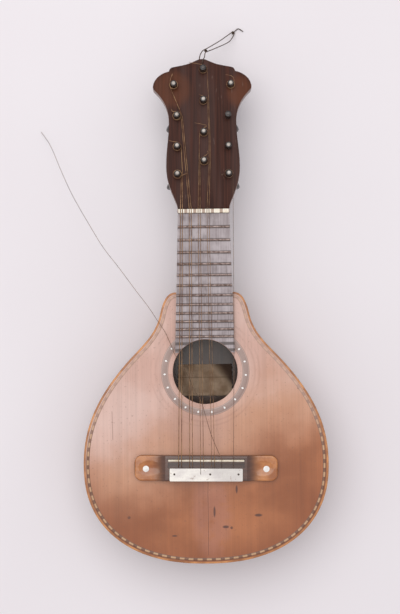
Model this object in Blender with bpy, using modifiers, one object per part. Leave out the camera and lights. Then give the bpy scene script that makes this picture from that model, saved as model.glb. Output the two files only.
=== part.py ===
"""A bandurria lying on its back: a small plucked instrument with six double courses.

Metres, +Z up out of the soundboard, +Y from the tail towards the head, +X to the player's treble side.
The origin is the middle of the instrument's footprint, on the surface that the back rests on.
"""
import math

import bmesh
import bpy
import numpy as np
from mathutils import Matrix, Vector

# Fit between pieces that touch
GAP = 0.0003

# Scale of the instrument: the strings, and what lies beyond them at each end
STRING_LENGTH = 0.2600
SADDLE_TO_TAIL = 0.1096
JOINT_TO_TWELFTH_FRET = 0.0468

# Sound box
BODY_WIDTH = 0.2586
BODY_DEPTH = 0.0740
LOWER_BOUT_LENGTH = 0.1051
LOWER_BOUT_POWER = 2.3
SHOULDER_DROP = 0.0235
SHOULDER_HALF = 0.0306
THROAT_HALF = 0.0472
FLANK_DROP = 0.0738
FLANK_HALF = 0.0827
SOUNDBOARD_THICKNESS = 0.0025
BACK_THICKNESS = 0.0025
SIDE_THICKNESS = 0.0021
BINDING_WIDTH = 0.0019
PURFLING_INSET = 0.0033
PURFLING_WIDTH = 0.0025
INLAY_THICKNESS = 0.0009
SOUNDHOLE_RADIUS = 0.0341
ROSETTE_TO_SOUNDHOLE = 0.0053
ROSETTE_WIDTH = 0.0070
LINING_WIDTH = 0.0055
LINING_HEIGHT = 0.0085
NECK_BLOCK_HALF = 0.0285
NECK_BLOCK_LENGTH = 0.0220
TAIL_BLOCK_HALF = 0.0280
TAIL_BLOCK_LENGTH = 0.0140
BAR_WIDTH = 0.0065
BAR_HEIGHT = 0.0090
BAR_TIP_HEIGHT = 0.0035
BAR_TAPER = 0.0240
BAR_TO_SOUNDHOLE = 0.0105
BACK_BAR_UPPER_TO_JOINT = 0.0420
BACK_BAR_LOWER_TO_TAIL = 0.0900

# Neck, heel and fretboard
NUT_HALF = 0.0271
TWELFTH_FRET_HALF = 0.0309
FRETBOARD_THICKNESS = 0.0045
FRETBOARD_END_CLEARANCE = 0.0005
HORN_HEIGHT = 0.0205
FRET_COUNT = 12
FRET_WIDTH = 0.0023
FRET_HEIGHT = 0.00105
TANG_WIDTH = 0.0006
TANG_DEPTH = 0.0016
NUT_DEPTH = 0.0042
NUT_ABOVE_FRETS = 0.0013
GROOVE_DEPTH = 0.0010
NECK_DEPTH_AT_NUT = 0.0140
NECK_DEPTH_AT_HEEL = 0.0170
HEEL_LENGTH = 0.0460
HEEL_CAP_LENGTH = 0.0080
HEEL_CAP_HEIGHT = 0.0032

# Head and pegs
HEAD_TILT_DEG = 7.5
HEAD_LENGTH = 0.1622
HEAD_FACE_RISE = 0.0034
VENEER_THICKNESS = 0.0015
HEAD_CORE_THICKNESS = 0.0132
TONGUE_LENGTH = 0.0240
CORD_HOLE_TO_PEAK = 0.0052
CORD_HOLE_RADIUS = 0.00125
PEG_SIDE_HALF = 0.0271
PEG_SIDE_HALF_TOP = 0.0303
PEG_CENTRE_SHIFT = 0.0011
PEG_SIDE_ROWS = (0.1330, 0.0992, 0.0659, 0.0359)
PEG_CENTRE_ROWS = (0.1499, 0.1158, 0.0811, 0.0502)
POST_RADIUS = 0.0033
POST_HEIGHT = 0.0120
PEG_TAPER = 0.0008
PADDLE_HALF_WIDTH = 0.0140
PADDLE_HALF_THICKNESS = 0.0055
PADDLE_LENGTH = 0.0200
STEM_LENGTH = 0.0085
PEG_CLEARANCE = 0.0003

# Bridge, measured from the saddle's middle on the soundboard
BRIDGE_HALF = 0.0754
BRIDGE_FRONT = 0.0052
BRIDGE_BACK = 0.0220
BRIDGE_CORNER = 0.0080
BRIDGE_SKEW_DEG = -0.7
BLOCK_HALF = 0.0430
BLOCK_HEIGHT = 0.0073
WING_HEIGHT = 0.0041
WING_RAMP_RADIUS = 0.0220
SADDLE_HALF = 0.0400
SADDLE_THICKNESS = 0.0020
SADDLE_HEIGHT = 0.0103
SADDLE_SLOT_FLOOR = 0.0025
CHANNEL_FRONT = 0.0027
CHANNEL_BACK = 0.0080
CHANNEL_FLOOR = 0.0032
TIE_HOLE_RADIUS = 0.0008
TIE_HOLE_DEPTH = 0.0065
TIE_HOLE_HEIGHT = 0.0054
PLATE_HALF = 0.0383
PLATE_BACK = 0.0217
PLATE_THICKNESS = 0.0008
PLATE_HOLE_RADIUS = 0.0008
PLATE_HOLES = (-0.0334, 0.0042, 0.0339)
DOT_OFFSET = 0.0634
DOT_SETBACK = 0.0092
DOT_RADIUS = 0.00315
DOT_THICKNESS = 0.0013
DISH_DEPTH = 0.0013

# Strings: six double courses, numbered from the bass side
COURSES = 6
COURSE_SPACING_NUT = 0.0093
COURSE_SPACING_SADDLE = 0.0115
PAIR_SPACING_NUT = 0.0021
PAIR_SPACING_SADDLE = 0.0030
SADDLE_BAND_SHIFT = 0.0014
COURSE_RADII = (0.00037, 0.00032, 0.00025, 0.00022, 0.00024, 0.00021)
COIL_CLEARANCE = 0.00063
COIL_HEIGHT = 0.0022
SLIPPED_COIL_HEIGHT = 0.0042
COIL_PITCH_GAP = 0.00055
COIL_TURN_POINTS = 12
PASSING_GAP = 0.0004
CORD_RADIUS = 0.0005

# Places worked out from the dimensions above
TILT = math.radians(HEAD_TILT_DEG)
HEAD_SETBACK = GAP + HEAD_FACE_RISE * math.tan(TILT)
HEAD_REACH = NUT_DEPTH + HEAD_SETBACK + HEAD_LENGTH * math.cos(TILT)
OVERALL_LENGTH = SADDLE_TO_TAIL + STRING_LENGTH + HEAD_REACH
NECK_FREE_LENGTH = STRING_LENGTH / 2 - JOINT_TO_TWELFTH_FRET
NUT_Y = OVERALL_LENGTH / 2 - HEAD_REACH
SADDLE_Y = NUT_Y - STRING_LENGTH
TAIL_Y = SADDLE_Y - SADDLE_TO_TAIL
JOINT_Y = NUT_Y - NECK_FREE_LENGTH
WIDEST_Y = TAIL_Y + LOWER_BOUT_LENGTH
TWELFTH_FRET_Y = NUT_Y - STRING_LENGTH / 2
FRETBOARD_ARC_TOP = TWELFTH_FRET_Y - 0.0026
SOUNDHOLE_Y = FRETBOARD_ARC_TOP - FRETBOARD_END_CLEARANCE - SOUNDHOLE_RADIUS
TOP_Z = BODY_DEPTH
SOUNDBOARD_BOTTOM = TOP_Z - SOUNDBOARD_THICKNESS
BOARD_BOTTOM = TOP_Z + GAP
BOARD_TOP = BOARD_BOTTOM + FRETBOARD_THICKNESS
FRET_TOP = BOARD_TOP + GAP + FRET_HEIGHT
NUT_TOP = FRET_TOP + NUT_ABOVE_FRETS
GROOVE_FLOOR = NUT_TOP - GROOVE_DEPTH
HEAD_START_Y = NUT_Y + NUT_DEPTH + HEAD_SETBACK
HEAD_FACE_Z = TOP_Z + HEAD_FACE_RISE
HEAD_BACK = -(VENEER_THICKNESS + GAP + HEAD_CORE_THICKNESS)
BRIDGE_BASE = TOP_Z + GAP
SADDLE_TOP_Z = TOP_Z + SADDLE_HEIGHT
INLAY_GROOVE_DEPTH = INLAY_THICKNESS + GAP
ROSETTE_INNER_RADIUS = SOUNDHOLE_RADIUS + ROSETTE_TO_SOUNDHOLE
COIL_RADIUS = POST_RADIUS + max(COURSE_RADII) + COIL_CLEARANCE

HEAD_FRAME = Matrix.Translation((0, HEAD_START_Y, HEAD_FACE_Z)) @ Matrix.Rotation(-TILT, 4, "X")
BRIDGE_FRAME = (Matrix.Translation((0, SADDLE_Y, BRIDGE_BASE))
                @ Matrix.Rotation(math.radians(BRIDGE_SKEW_DEG), 4, "Z"))


# Scene, collections and materials

def start_scene():
    """Empty scene with one collection for the instrument and one for its cutters."""
    for old in list(bpy.data.objects):
        bpy.data.objects.remove(old, do_unlink=True)
    parts = bpy.data.collections.new("bandurria")
    cutters = bpy.data.collections.new("cutters")
    bpy.context.scene.collection.children.link(parts)
    bpy.context.scene.collection.children.link(cutters)
    return parts, cutters


PARTS, CUTTERS = start_scene()


def finish_material(name, colour, roughness, metallic=0.0):
    material = bpy.data.materials.new(name)
    material.use_nodes = True
    shader = material.node_tree.nodes["Principled BSDF"]
    shader.inputs["Base Color"].default_value = (*colour, 1.0)
    shader.inputs["Roughness"].default_value = roughness
    shader.inputs["Metallic"].default_value = metallic
    return material


SOUNDBOARD_WOOD = finish_material("aged_spruce", (0.52, 0.30, 0.19), 0.42)
SIDE_WOOD = finish_material("side_walnut", (0.22, 0.10, 0.05), 0.35)
INNER_WOOD = finish_material("raw_cedar", (0.45, 0.28, 0.16), 0.75)
BINDING_WOOD = finish_material("orange_binding", (0.42, 0.18, 0.07), 0.38)
MOSAIC_WOOD = finish_material("mosaic_inlay", (0.55, 0.44, 0.33), 0.45)
HEAD_WOOD = finish_material("red_brown_veneer", (0.09, 0.035, 0.025), 0.30)
NECK_WOOD = finish_material("neck_cedar", (0.20, 0.09, 0.05), 0.40)
BOARD_WOOD = finish_material("dark_fretboard", (0.13, 0.10, 0.10), 0.35)
BRIDGE_WOOD = finish_material("varnished_bridge", (0.36, 0.14, 0.04), 0.25)
PEG_WOOD = finish_material("black_peg", (0.02, 0.018, 0.016), 0.28)
BONE = finish_material("bone", (0.82, 0.76, 0.62), 0.35)
PEARL = finish_material("pearl", (0.78, 0.76, 0.72), 0.22)
FRET_METAL = finish_material("fret_metal", (0.55, 0.50, 0.45), 0.35, 1.0)
STRING_METAL = finish_material("string_bronze", (0.45, 0.34, 0.20), 0.35, 1.0)
TWINE = finish_material("brown_twine", (0.11, 0.07, 0.05), 0.80)


# Modelling helpers

def add_object(name, data, collection, material=None):
    item = bpy.data.objects.new(name, data)
    collection.objects.link(item)
    if material is not None:
        data.materials.append(material)
    if collection is CUTTERS:
        item.hide_render = True
        item.display_type = "WIRE"
    return item


def mesh_object(name, bm, collection, material=None, sharp_deg=30):
    """Object from a bmesh, with its faces turned outwards and its round stretches smooth."""
    bmesh.ops.recalc_face_normals(bm, faces=bm.faces)
    mesh = bpy.data.meshes.new(name)
    bm.to_mesh(mesh)
    bm.free()
    mesh.shade_smooth()
    mesh.set_sharp_from_angle(angle=math.radians(sharp_deg))
    return add_object(name, mesh, collection, material)


def corners_of(loop):
    """The loop without points that lie on a straight run between their neighbours."""
    loop = np.array(loop, dtype=float)
    before = loop - np.roll(loop, 1, axis=0)
    after = np.roll(loop, -1, axis=0) - loop
    bend = np.abs(before[:, 0] * after[:, 1] - before[:, 1] * after[:, 0])
    return loop[bend > 1e-12]


def plate(name, loops, bottom, top, collection, material=None):
    """Flat piece between two heights: a filled 2D curve of one or more closed loops, made a welded mesh."""
    curve = bpy.data.curves.new(name, "CURVE")
    curve.dimensions = "2D"
    curve.fill_mode = "BOTH"
    curve.extrude = (top - bottom) / 2
    for loop in map(corners_of, loops):
        spline = curve.splines.new("POLY")
        spline.points.add(len(loop) - 1)
        for point, (x, y) in zip(spline.points, loop):
            point.co = (x, y, 0.0, 1.0)
        spline.use_cyclic_u = True
    outline = add_object(name + "_outline", curve, CUTTERS)
    flat = bpy.data.meshes.new_from_object(outline.evaluated_get(bpy.context.evaluated_depsgraph_get()))
    bpy.data.objects.remove(outline, do_unlink=True)
    bm = bmesh.new()
    bm.from_mesh(flat)
    bpy.data.meshes.remove(flat)
    bmesh.ops.remove_doubles(bm, verts=bm.verts, dist=1e-6)
    bmesh.ops.translate(bm, verts=bm.verts, vec=(0, 0, (top + bottom) / 2))
    return mesh_object(name, bm, collection, material)


def loft(name, rings, collection, material=None, sharp_deg=30):
    """Solid through rings of equally many points, closed by a face on its first and last ring."""
    bm = bmesh.new()
    layers = [[bm.verts.new(point) for point in ring] for ring in rings]
    for lower, upper in zip(layers, layers[1:]):
        for i in range(len(lower)):
            j = (i + 1) % len(lower)
            bm.faces.new((lower[i], lower[j], upper[j], upper[i]))
    bm.faces.new(layers[0])
    bm.faces.new(layers[-1])
    return mesh_object(name, bm, collection, material, sharp_deg)


def boxes(name, centres, size, collection, material=None):
    """One or more equal boxes, square to the axes."""
    bm = bmesh.new()
    for centre in centres:
        place = Matrix.Translation(centre) @ Matrix.Diagonal((*size, 1.0))
        bmesh.ops.create_cube(bm, size=1.0, matrix=place)
    return mesh_object(name, bm, collection, material)


def cones(name, frames, lower_radius, upper_radius, length, segments, collection, material=None):
    """One or more equal cones or cylinders, each centred on a frame with its axis along that frame's Z."""
    bm = bmesh.new()
    for frame in frames:
        bmesh.ops.create_cone(bm, cap_ends=True, segments=segments, radius1=lower_radius,
                              radius2=upper_radius, depth=length, matrix=frame)
    return mesh_object(name, bm, collection, material)


def boolean(item, other, operation="DIFFERENCE"):
    step = item.modifiers.new(other.name, "BOOLEAN")
    step.operation = operation
    step.solver = "EXACT"
    step.object = other


def bevel(item, width, segments, angle_deg=40):
    step = item.modifiers.new("rounding", "BEVEL")
    step.width = width
    step.segments = segments
    step.limit_method = "ANGLE"
    step.angle_limit = math.radians(angle_deg)


def tube(name, points, radius, resolution, material):
    """Round wire along the points, with closed ends."""
    curve = bpy.data.curves.new(name, "CURVE")
    curve.dimensions = "3D"
    curve.bevel_depth = radius
    curve.bevel_resolution = resolution
    curve.use_fill_caps = True
    spline = curve.splines.new("POLY")
    spline.points.add(len(points) - 1)
    for target, point in zip(spline.points, points):
        target.co = (*point, 1.0)
    return add_object(name, curve, PARTS, material)


# Outlines

HANDLE = 0.37
LOWER_BOUT_POINTS = 12
ROUND_POINTS = 40


def heading(angle_deg):
    return np.array((math.cos(math.radians(angle_deg)), math.sin(math.radians(angle_deg))))


def curved_path(knots, counts):
    """Points along cubic arcs through knots (x, y, heading in, heading out), with a count for each arc."""
    path = [np.array(knots[0][:2])]
    for start, stop, count in zip(knots, knots[1:], counts):
        first = np.array(start[:2])
        last = np.array(stop[:2])
        reach = HANDLE * np.linalg.norm(last - first)
        near = first + reach * heading(start[3])
        far = last - reach * heading(stop[2])
        for step in range(1, count + 1):
            t = step / count
            u = 1 - t
            path.append(u ** 3 * first + 3 * u * u * t * near + 3 * u * t * t * far + t ** 3 * last)
    return np.array(path)


def circle(radius, centre_y, count):
    angles = np.arange(count) * 2 * math.pi / count
    return np.column_stack((radius * np.cos(angles), centre_y + radius * np.sin(angles)))


def half_body():
    """Right half of the body's outline, from the neck joint's middle round to the tail's middle."""
    throat_y = JOINT_Y - SHOULDER_DROP
    upper = curved_path([(0, JOINT_Y, 0, 0),
                         (SHOULDER_HALF, JOINT_Y, 0, 0),
                         (THROAT_HALF, throat_y, -77, -77),
                         (FLANK_HALF, JOINT_Y - FLANK_DROP, -48.5, -48.5),
                         (BODY_WIDTH / 2, WIDEST_Y, -90, -90)], (1, 6, 6, 7))
    lower = []
    for step in range(1, LOWER_BOUT_POINTS + 1):
        angle = step / LOWER_BOUT_POINTS * math.pi / 2
        x = BODY_WIDTH / 2 * math.cos(angle) ** (2 / LOWER_BOUT_POWER)
        y = WIDEST_Y - LOWER_BOUT_LENGTH * math.sin(angle) ** (2 / LOWER_BOUT_POWER)
        lower.append((x if step < LOWER_BOUT_POINTS else 0.0, y))
    return np.vstack((upper, lower))


HALF_BODY = half_body()
HALF_COUNT = len(HALF_BODY)


def body_loop(inset=0.0):
    """The whole outline, clockwise from the neck joint's middle, moved inwards by an inset."""
    mirrored = HALF_BODY[-2:0:-1] * (-1, 1)
    loop = np.vstack((HALF_BODY, mirrored))
    along = np.roll(loop, -1, axis=0) - np.roll(loop, 1, axis=0)
    along /= np.linalg.norm(along, axis=1)[:, None]
    inwards = np.column_stack((along[:, 1], -along[:, 0]))
    return loop + inset * inwards


def half_width_at(y, inset):
    """Half width of the inset outline at a height along the body."""
    half = body_loop(inset)[:HALF_COUNT]
    return float(np.interp(y, half[::-1, 1], half[::-1, 0]))


def head_loop():
    """The head's outline in its own plane: x across, y up from the nut."""
    top = HEAD_LENGTH
    right = curved_path([(NUT_HALF, 0.0, 84, 84),
                         (0.0317, 0.0140, 68, 68),
                         (0.0389, 0.0455, 90, 90),
                         (0.0358, 0.0940, 90, 90),
                         (0.0512, top - 0.0332, 45, 45),
                         (0.0525, top - 0.0298, 97, 97),
                         (0.0353, top - 0.0133, 168, 100),
                         (0.0315, top - 0.0088, 168, 168),
                         (0.0150, top - 0.0052, 163, 163),
                         (0.0035, top - 0.0004, 160, 160),
                         (0.0, top, 180, 180)], (3, 5, 6, 8, 2, 8, 3, 3, 4, 1))
    left = right[-2::-1] * (-1, 1)
    return np.vstack((right, left))


# Sound box

def build_soundboard():
    board = plate("soundboard", [body_loop(BINDING_WIDTH + GAP), circle(SOUNDHOLE_RADIUS, SOUNDHOLE_Y, ROUND_POINTS)],
                  SOUNDBOARD_BOTTOM, TOP_Z, PARTS, SOUNDBOARD_WOOD)
    groove_floor = TOP_Z - INLAY_GROOVE_DEPTH
    above = TOP_Z + 0.001
    edge_groove = plate("purfling_groove",
                        [body_loop(PURFLING_INSET - GAP), body_loop(PURFLING_INSET + PURFLING_WIDTH + GAP)],
                        groove_floor, above, CUTTERS)
    ring_groove = plate("rosette_groove",
                        [circle(ROSETTE_INNER_RADIUS + ROSETTE_WIDTH + GAP, SOUNDHOLE_Y, ROUND_POINTS),
                         circle(ROSETTE_INNER_RADIUS - GAP, SOUNDHOLE_Y, ROUND_POINTS)],
                        groove_floor, above, CUTTERS)
    boolean(board, edge_groove)
    boolean(board, ring_groove)


def build_edge_trim():
    plate("binding", [body_loop(), body_loop(BINDING_WIDTH)], SOUNDBOARD_BOTTOM, TOP_Z, PARTS, BINDING_WOOD)
    inlay_bottom = TOP_Z - INLAY_THICKNESS
    plate("purfling", [body_loop(PURFLING_INSET), body_loop(PURFLING_INSET + PURFLING_WIDTH)],
          inlay_bottom, TOP_Z, PARTS, MOSAIC_WOOD)
    plate("rosette", [circle(ROSETTE_INNER_RADIUS + ROSETTE_WIDTH, SOUNDHOLE_Y, ROUND_POINTS),
                      circle(ROSETTE_INNER_RADIUS, SOUNDHOLE_Y, ROUND_POINTS)],
          inlay_bottom, TOP_Z, PARTS, MOSAIC_WOOD)


def build_back():
    plate("back", [body_loop()], 0.0, BACK_THICKNESS, PARTS, SIDE_WOOD)


def build_sides():
    """Two bent ribs that meet at the tail and behind the heel."""
    outer = body_loop()[:HALF_COUNT]
    inner = body_loop(SIDE_THICKNESS)[:HALF_COUNT]
    strip = np.vstack((outer, inner[::-1]))
    strip[:, 0] = np.maximum(strip[:, 0], GAP / 2)
    bottom = BACK_THICKNESS + GAP
    top = SOUNDBOARD_BOTTOM - GAP
    plate("side_right", [strip], bottom, top, PARTS, SIDE_WOOD)
    plate("side_left", [strip * (-1, 1)], bottom, top, PARTS, SIDE_WOOD)


def build_linings():
    """Strips that widen the glue joint of the soundboard and of the back, from shoulder to shoulder."""
    outer = body_loop(SIDE_THICKNESS + GAP)
    inner = body_loop(SIDE_THICKNESS + GAP + LINING_WIDTH)
    block_end = JOINT_Y - SIDE_THICKNESS - GAP - NECK_BLOCK_LENGTH
    kept = outer[:, 1] < block_end - GAP
    strip = np.vstack((outer[kept], inner[kept][::-1]))
    top = SOUNDBOARD_BOTTOM - GAP
    bottom = BACK_THICKNESS + GAP
    plate("lining_top", [strip], top - LINING_HEIGHT, top, PARTS, INNER_WOOD)
    plate("lining_back", [strip], bottom, bottom + LINING_HEIGHT, PARTS, INNER_WOOD)


def build_blocks():
    top = SOUNDBOARD_BOTTOM - GAP
    bottom = BACK_THICKNESS + GAP
    back_y = JOINT_Y - SIDE_THICKNESS - GAP
    centre = (0, back_y - NECK_BLOCK_LENGTH / 2, (top + bottom) / 2)
    block = boxes("neck_block", [centre], (2 * NECK_BLOCK_HALF, NECK_BLOCK_LENGTH, top - bottom),
                  PARTS, INNER_WOOD)
    bevel(block, 0.0015, 1)
    wall = body_loop(SIDE_THICKNESS + GAP)
    near = (np.abs(wall[:, 0]) < TAIL_BLOCK_HALF) & (wall[:, 1] < SADDLE_Y)
    curved = wall[near]
    inner_y = TAIL_Y + SIDE_THICKNESS + TAIL_BLOCK_LENGTH
    ends = np.array([(curved[-1, 0], inner_y), (curved[0, 0], inner_y)])
    lining = LINING_HEIGHT + GAP
    plate("tail_block", [np.vstack((curved, ends))], bottom + lining, top - lining, PARTS, INNER_WOOD)


def bar(name, y, face_z, inwards, material):
    """Cross bar glued to a plate's inner face, its ends tapered, between the linings."""
    inset = SIDE_THICKNESS + LINING_WIDTH + 3 * GAP
    half = min(half_width_at(y - BAR_WIDTH / 2, inset), half_width_at(y + BAR_WIDTH / 2, inset))
    shoulder = half - BAR_TAPER
    side = [(-half, 0), (half, 0), (half, BAR_TIP_HEIGHT), (shoulder, BAR_HEIGHT),
            (-shoulder, BAR_HEIGHT), (-half, BAR_TIP_HEIGHT)]
    profile = [(x, inwards * z) for x, z in side]
    item = plate(name, [profile], -BAR_WIDTH / 2, BAR_WIDTH / 2, PARTS, material)
    item.rotation_euler = (math.pi / 2, 0, 0)
    item.location = (0, y, face_z)


def build_bars():
    under_top = SOUNDBOARD_BOTTOM - GAP
    on_back = BACK_THICKNESS + GAP
    reach = SOUNDHOLE_RADIUS + BAR_TO_SOUNDHOLE
    bar("top_bar_upper", SOUNDHOLE_Y + reach, under_top, -1, INNER_WOOD)
    bar("top_bar_lower", SOUNDHOLE_Y - reach, under_top, -1, INNER_WOOD)
    bar("back_bar_upper", JOINT_Y - BACK_BAR_UPPER_TO_JOINT, on_back, 1, INNER_WOOD)
    bar("back_bar_lower", TAIL_Y + BACK_BAR_LOWER_TO_TAIL, on_back, 1, INNER_WOOD)


# Neck and head

NECK_RING_POINTS = 15


def board_half(y):
    """Half width of the fretboard, which widens evenly from the nut."""
    return NUT_HALF + (TWELFTH_FRET_HALF - NUT_HALF) * (NUT_Y - y) / (STRING_LENGTH / 2)


def neck_ring(y, half, depth, heel, top):
    """Cross-section under a flat top: a round-backed shaft, blended towards the heel's narrowing form."""
    ring = []
    for index in range(NECK_RING_POINTS):
        angle = math.pi * index / (NECK_RING_POINTS - 1)
        c = math.cos(angle)
        s = math.sin(angle)
        shaft_x = half * math.copysign(abs(c) ** 0.85, c)
        heel_x = half * math.copysign(abs(c) ** 0.45, c) * (1 - 0.52 * s)
        drop = depth * ((1 - heel) * s ** 0.8 + heel * s ** 0.95)
        ring.append((shaft_x + (heel_x - shaft_x) * heel, y, top - drop))
    return ring


def build_neck():
    """Shaft, heel and head core in one piece; the shaft runs on under the head as a short tongue."""
    rings = []
    start = JOINT_Y + GAP
    heel_depth = TOP_Z - HEEL_CAP_HEIGHT
    for share in (0.0, 0.10, HEEL_CAP_LENGTH / HEEL_LENGTH, 0.24, 0.32, 0.42, 0.54, 0.70, 0.86, 1.0):
        fade = max(0.0, (share - HEEL_CAP_LENGTH / HEEL_LENGTH) / (1 - HEEL_CAP_LENGTH / HEEL_LENGTH))
        heel = (1 - fade) ** 2.6
        depth = NECK_DEPTH_AT_HEEL + (heel_depth - NECK_DEPTH_AT_HEEL) * heel
        y = start + share * HEEL_LENGTH
        rings.append(neck_ring(y, board_half(y), depth, heel ** 0.5, TOP_Z))
    rings.append(neck_ring(NUT_Y - 0.012, board_half(NUT_Y - 0.012), NECK_DEPTH_AT_NUT, 0.0, TOP_Z))
    rings.append(neck_ring(HEAD_START_Y - GAP, NUT_HALF, NECK_DEPTH_AT_NUT + 0.0008, 0.0, TOP_Z))
    core_top = -(VENEER_THICKNESS + GAP)
    for share, width, below in ((0.30, 0.92, 0.0034), (0.65, 0.62, 0.0024), (1.0, 0.22, 0.0004)):
        middle = HEAD_FRAME @ Vector((0, share * TONGUE_LENGTH, (core_top + HEAD_BACK) / 2))
        lowest = HEAD_FRAME @ Vector((0, share * TONGUE_LENGTH, HEAD_BACK - below))
        rings.append(neck_ring(middle.y, NUT_HALF * width, middle.z - lowest.z, 0.0, middle.z))
    neck = loft("neck", rings, PARTS, NECK_WOOD, 50)
    core = plate("head_core", [head_loop()], HEAD_BACK, core_top, CUTTERS)
    core.matrix_world = HEAD_FRAME
    boolean(neck, core, "UNION")
    return neck


def build_head_veneer():
    veneer = plate("head_veneer", [head_loop()], -VENEER_THICKNESS, 0.0, PARTS, HEAD_WOOD)
    veneer.matrix_world = HEAD_FRAME
    return veneer


def fret_y(number):
    return NUT_Y - STRING_LENGTH * (1 - 2 ** (-number / 12))


def build_fretboard():
    """Tapering board whose lower end follows the soundhole and leaves two blunt horns."""
    start = NUT_Y - GAP
    end = SOUNDHOLE_Y + HORN_HEIGHT
    arc_radius = SOUNDHOLE_RADIUS + FRETBOARD_END_CLEARANCE
    opening = math.asin((end - SOUNDHOLE_Y) / arc_radius)
    angles = np.linspace(opening, math.pi - opening, 19)
    arc = np.column_stack((arc_radius * np.cos(angles), SOUNDHOLE_Y + arc_radius * np.sin(angles)))
    corners = np.array([(-board_half(end), end), (-board_half(start), start),
                        (board_half(start), start), (board_half(end), end)])
    board = plate("fretboard", [np.vstack((arc, corners))], BOARD_BOTTOM, BOARD_TOP, PARTS, BOARD_WOOD)
    slot_depth = TANG_DEPTH + GAP
    centres = [(0, fret_y(n), BOARD_TOP - slot_depth / 2 + 0.0005) for n in range(1, FRET_COUNT + 1)]
    slots = boxes("fret_slots", centres, (0.1, TANG_WIDTH + 2 * GAP, slot_depth + 0.001), CUTTERS)
    boolean(board, slots)


def build_frets():
    """Bars of T section: a rounded crown on the board and a tang in its slot."""
    half = FRET_WIDTH / 2
    tang = TANG_WIDTH / 2
    crown = [(half * math.cos(a), FRET_HEIGHT * math.sin(a)) for a in np.linspace(0, math.pi, 7)]
    section = crown + [(-tang, 0), (-tang, -TANG_DEPTH), (tang, -TANG_DEPTH), (tang, 0)]
    for number in range(1, FRET_COUNT + 1):
        y = fret_y(number)
        half_length = board_half(y) - GAP
        fret = plate("fret_%02d" % number, [section], -half_length, half_length, PARTS, FRET_METAL)
        fret.matrix_world = (Matrix.Translation((0, y, BOARD_TOP + GAP)) @ Matrix.Rotation(math.pi / 2, 4, "Z")
                             @ Matrix.Rotation(math.pi / 2, 4, "X"))


def groove_x(course, side, spacing, pair_spacing, shift=0.0):
    """Place across the neck of one string: course 0 to 5 from the bass side, side -1 or +1 in its pair."""
    return (course - (COURSES - 1) / 2) * spacing + side * pair_spacing / 2 + shift


def nut_x(course, side):
    return groove_x(course, side, COURSE_SPACING_NUT, PAIR_SPACING_NUT)


def saddle_x(course, side):
    return groove_x(course, side, COURSE_SPACING_SADDLE, PAIR_SPACING_SADDLE, SADDLE_BAND_SHIFT)


def build_nut():
    bottom = BOARD_BOTTOM
    centre = (0, NUT_Y + NUT_DEPTH / 2, (NUT_TOP + bottom) / 2)
    nut = boxes("nut", [centre], (2 * NUT_HALF + 0.0004, NUT_DEPTH, NUT_TOP - bottom), PARTS, BONE)
    bevel(nut, 0.0004, 2)
    centres = []
    for course in range(COURSES):
        for side in (-1, 1):
            centres.append((nut_x(course, side), NUT_Y + NUT_DEPTH / 2, GROOVE_FLOOR + 0.005))
    groove_width = 2 * (max(COURSE_RADII) + GAP)
    grooves = boxes("nut_grooves", centres, (groove_width, 0.02, 0.010), CUTTERS)
    boolean(nut, grooves)


# Pegs

def peg_places():
    """Name and place in the head's plane of every peg: left, centre and right columns, row 1 nearest the top."""
    places = {}
    for row in range(4):
        side_half = PEG_SIDE_HALF_TOP if row == 0 else PEG_SIDE_HALF
        places["left_%d" % (row + 1)] = (-side_half, PEG_SIDE_ROWS[row])
        places["centre_%d" % (row + 1)] = (PEG_CENTRE_SHIFT, PEG_CENTRE_ROWS[row])
        places["right_%d" % (row + 1)] = (side_half, PEG_SIDE_ROWS[row])
    return places


PEGS = peg_places()
PEG_SEGMENTS = 10
PEG_TURN_DEG = {"left": 32.0, "centre": 90.0, "right": -32.0}


def peg_rings():
    """Sections from the domed end down through the head to the flat, rounded paddle."""
    collar = HEAD_BACK - GAP
    paddle = collar - STEM_LENGTH
    root = POST_RADIUS + PEG_TAPER
    rows = [(POST_HEIGHT, POST_RADIUS * 0.40, POST_RADIUS * 0.40),
            (POST_HEIGHT - 0.0009, POST_RADIUS * 0.86, POST_RADIUS * 0.86),
            (POST_HEIGHT - 0.0022, POST_RADIUS, POST_RADIUS),
            (0.0, POST_RADIUS, POST_RADIUS),
            (HEAD_BACK, root, root),
            (collar, root + 0.0013, root + 0.0013),
            (collar - 0.0022, root + 0.0013, root + 0.0013),
            (collar - 0.0030, root - 0.0004, root - 0.0004)]
    for share, width, thickness in ((0.0, 0.34, 0.86), (0.22, 0.78, 0.96), (0.50, 1.0, 1.0),
                                    (0.78, 0.86, 0.84), (0.95, 0.50, 0.56), (1.0, 0.26, 0.30)):
        rows.append((paddle - share * PADDLE_LENGTH, PADDLE_HALF_WIDTH * width, PADDLE_HALF_THICKNESS * thickness))
    rings = []
    for height, half_width, half_thickness in rows:
        ring = []
        for index in range(PEG_SEGMENTS):
            angle = 2 * math.pi * index / PEG_SEGMENTS
            ring.append((half_width * math.cos(angle), half_thickness * math.sin(angle), height))
        rings.append(ring)
    return rings


def peg_frame(name):
    u, v = PEGS[name]
    return HEAD_FRAME @ Matrix.Translation((u, v, 0))


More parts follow.
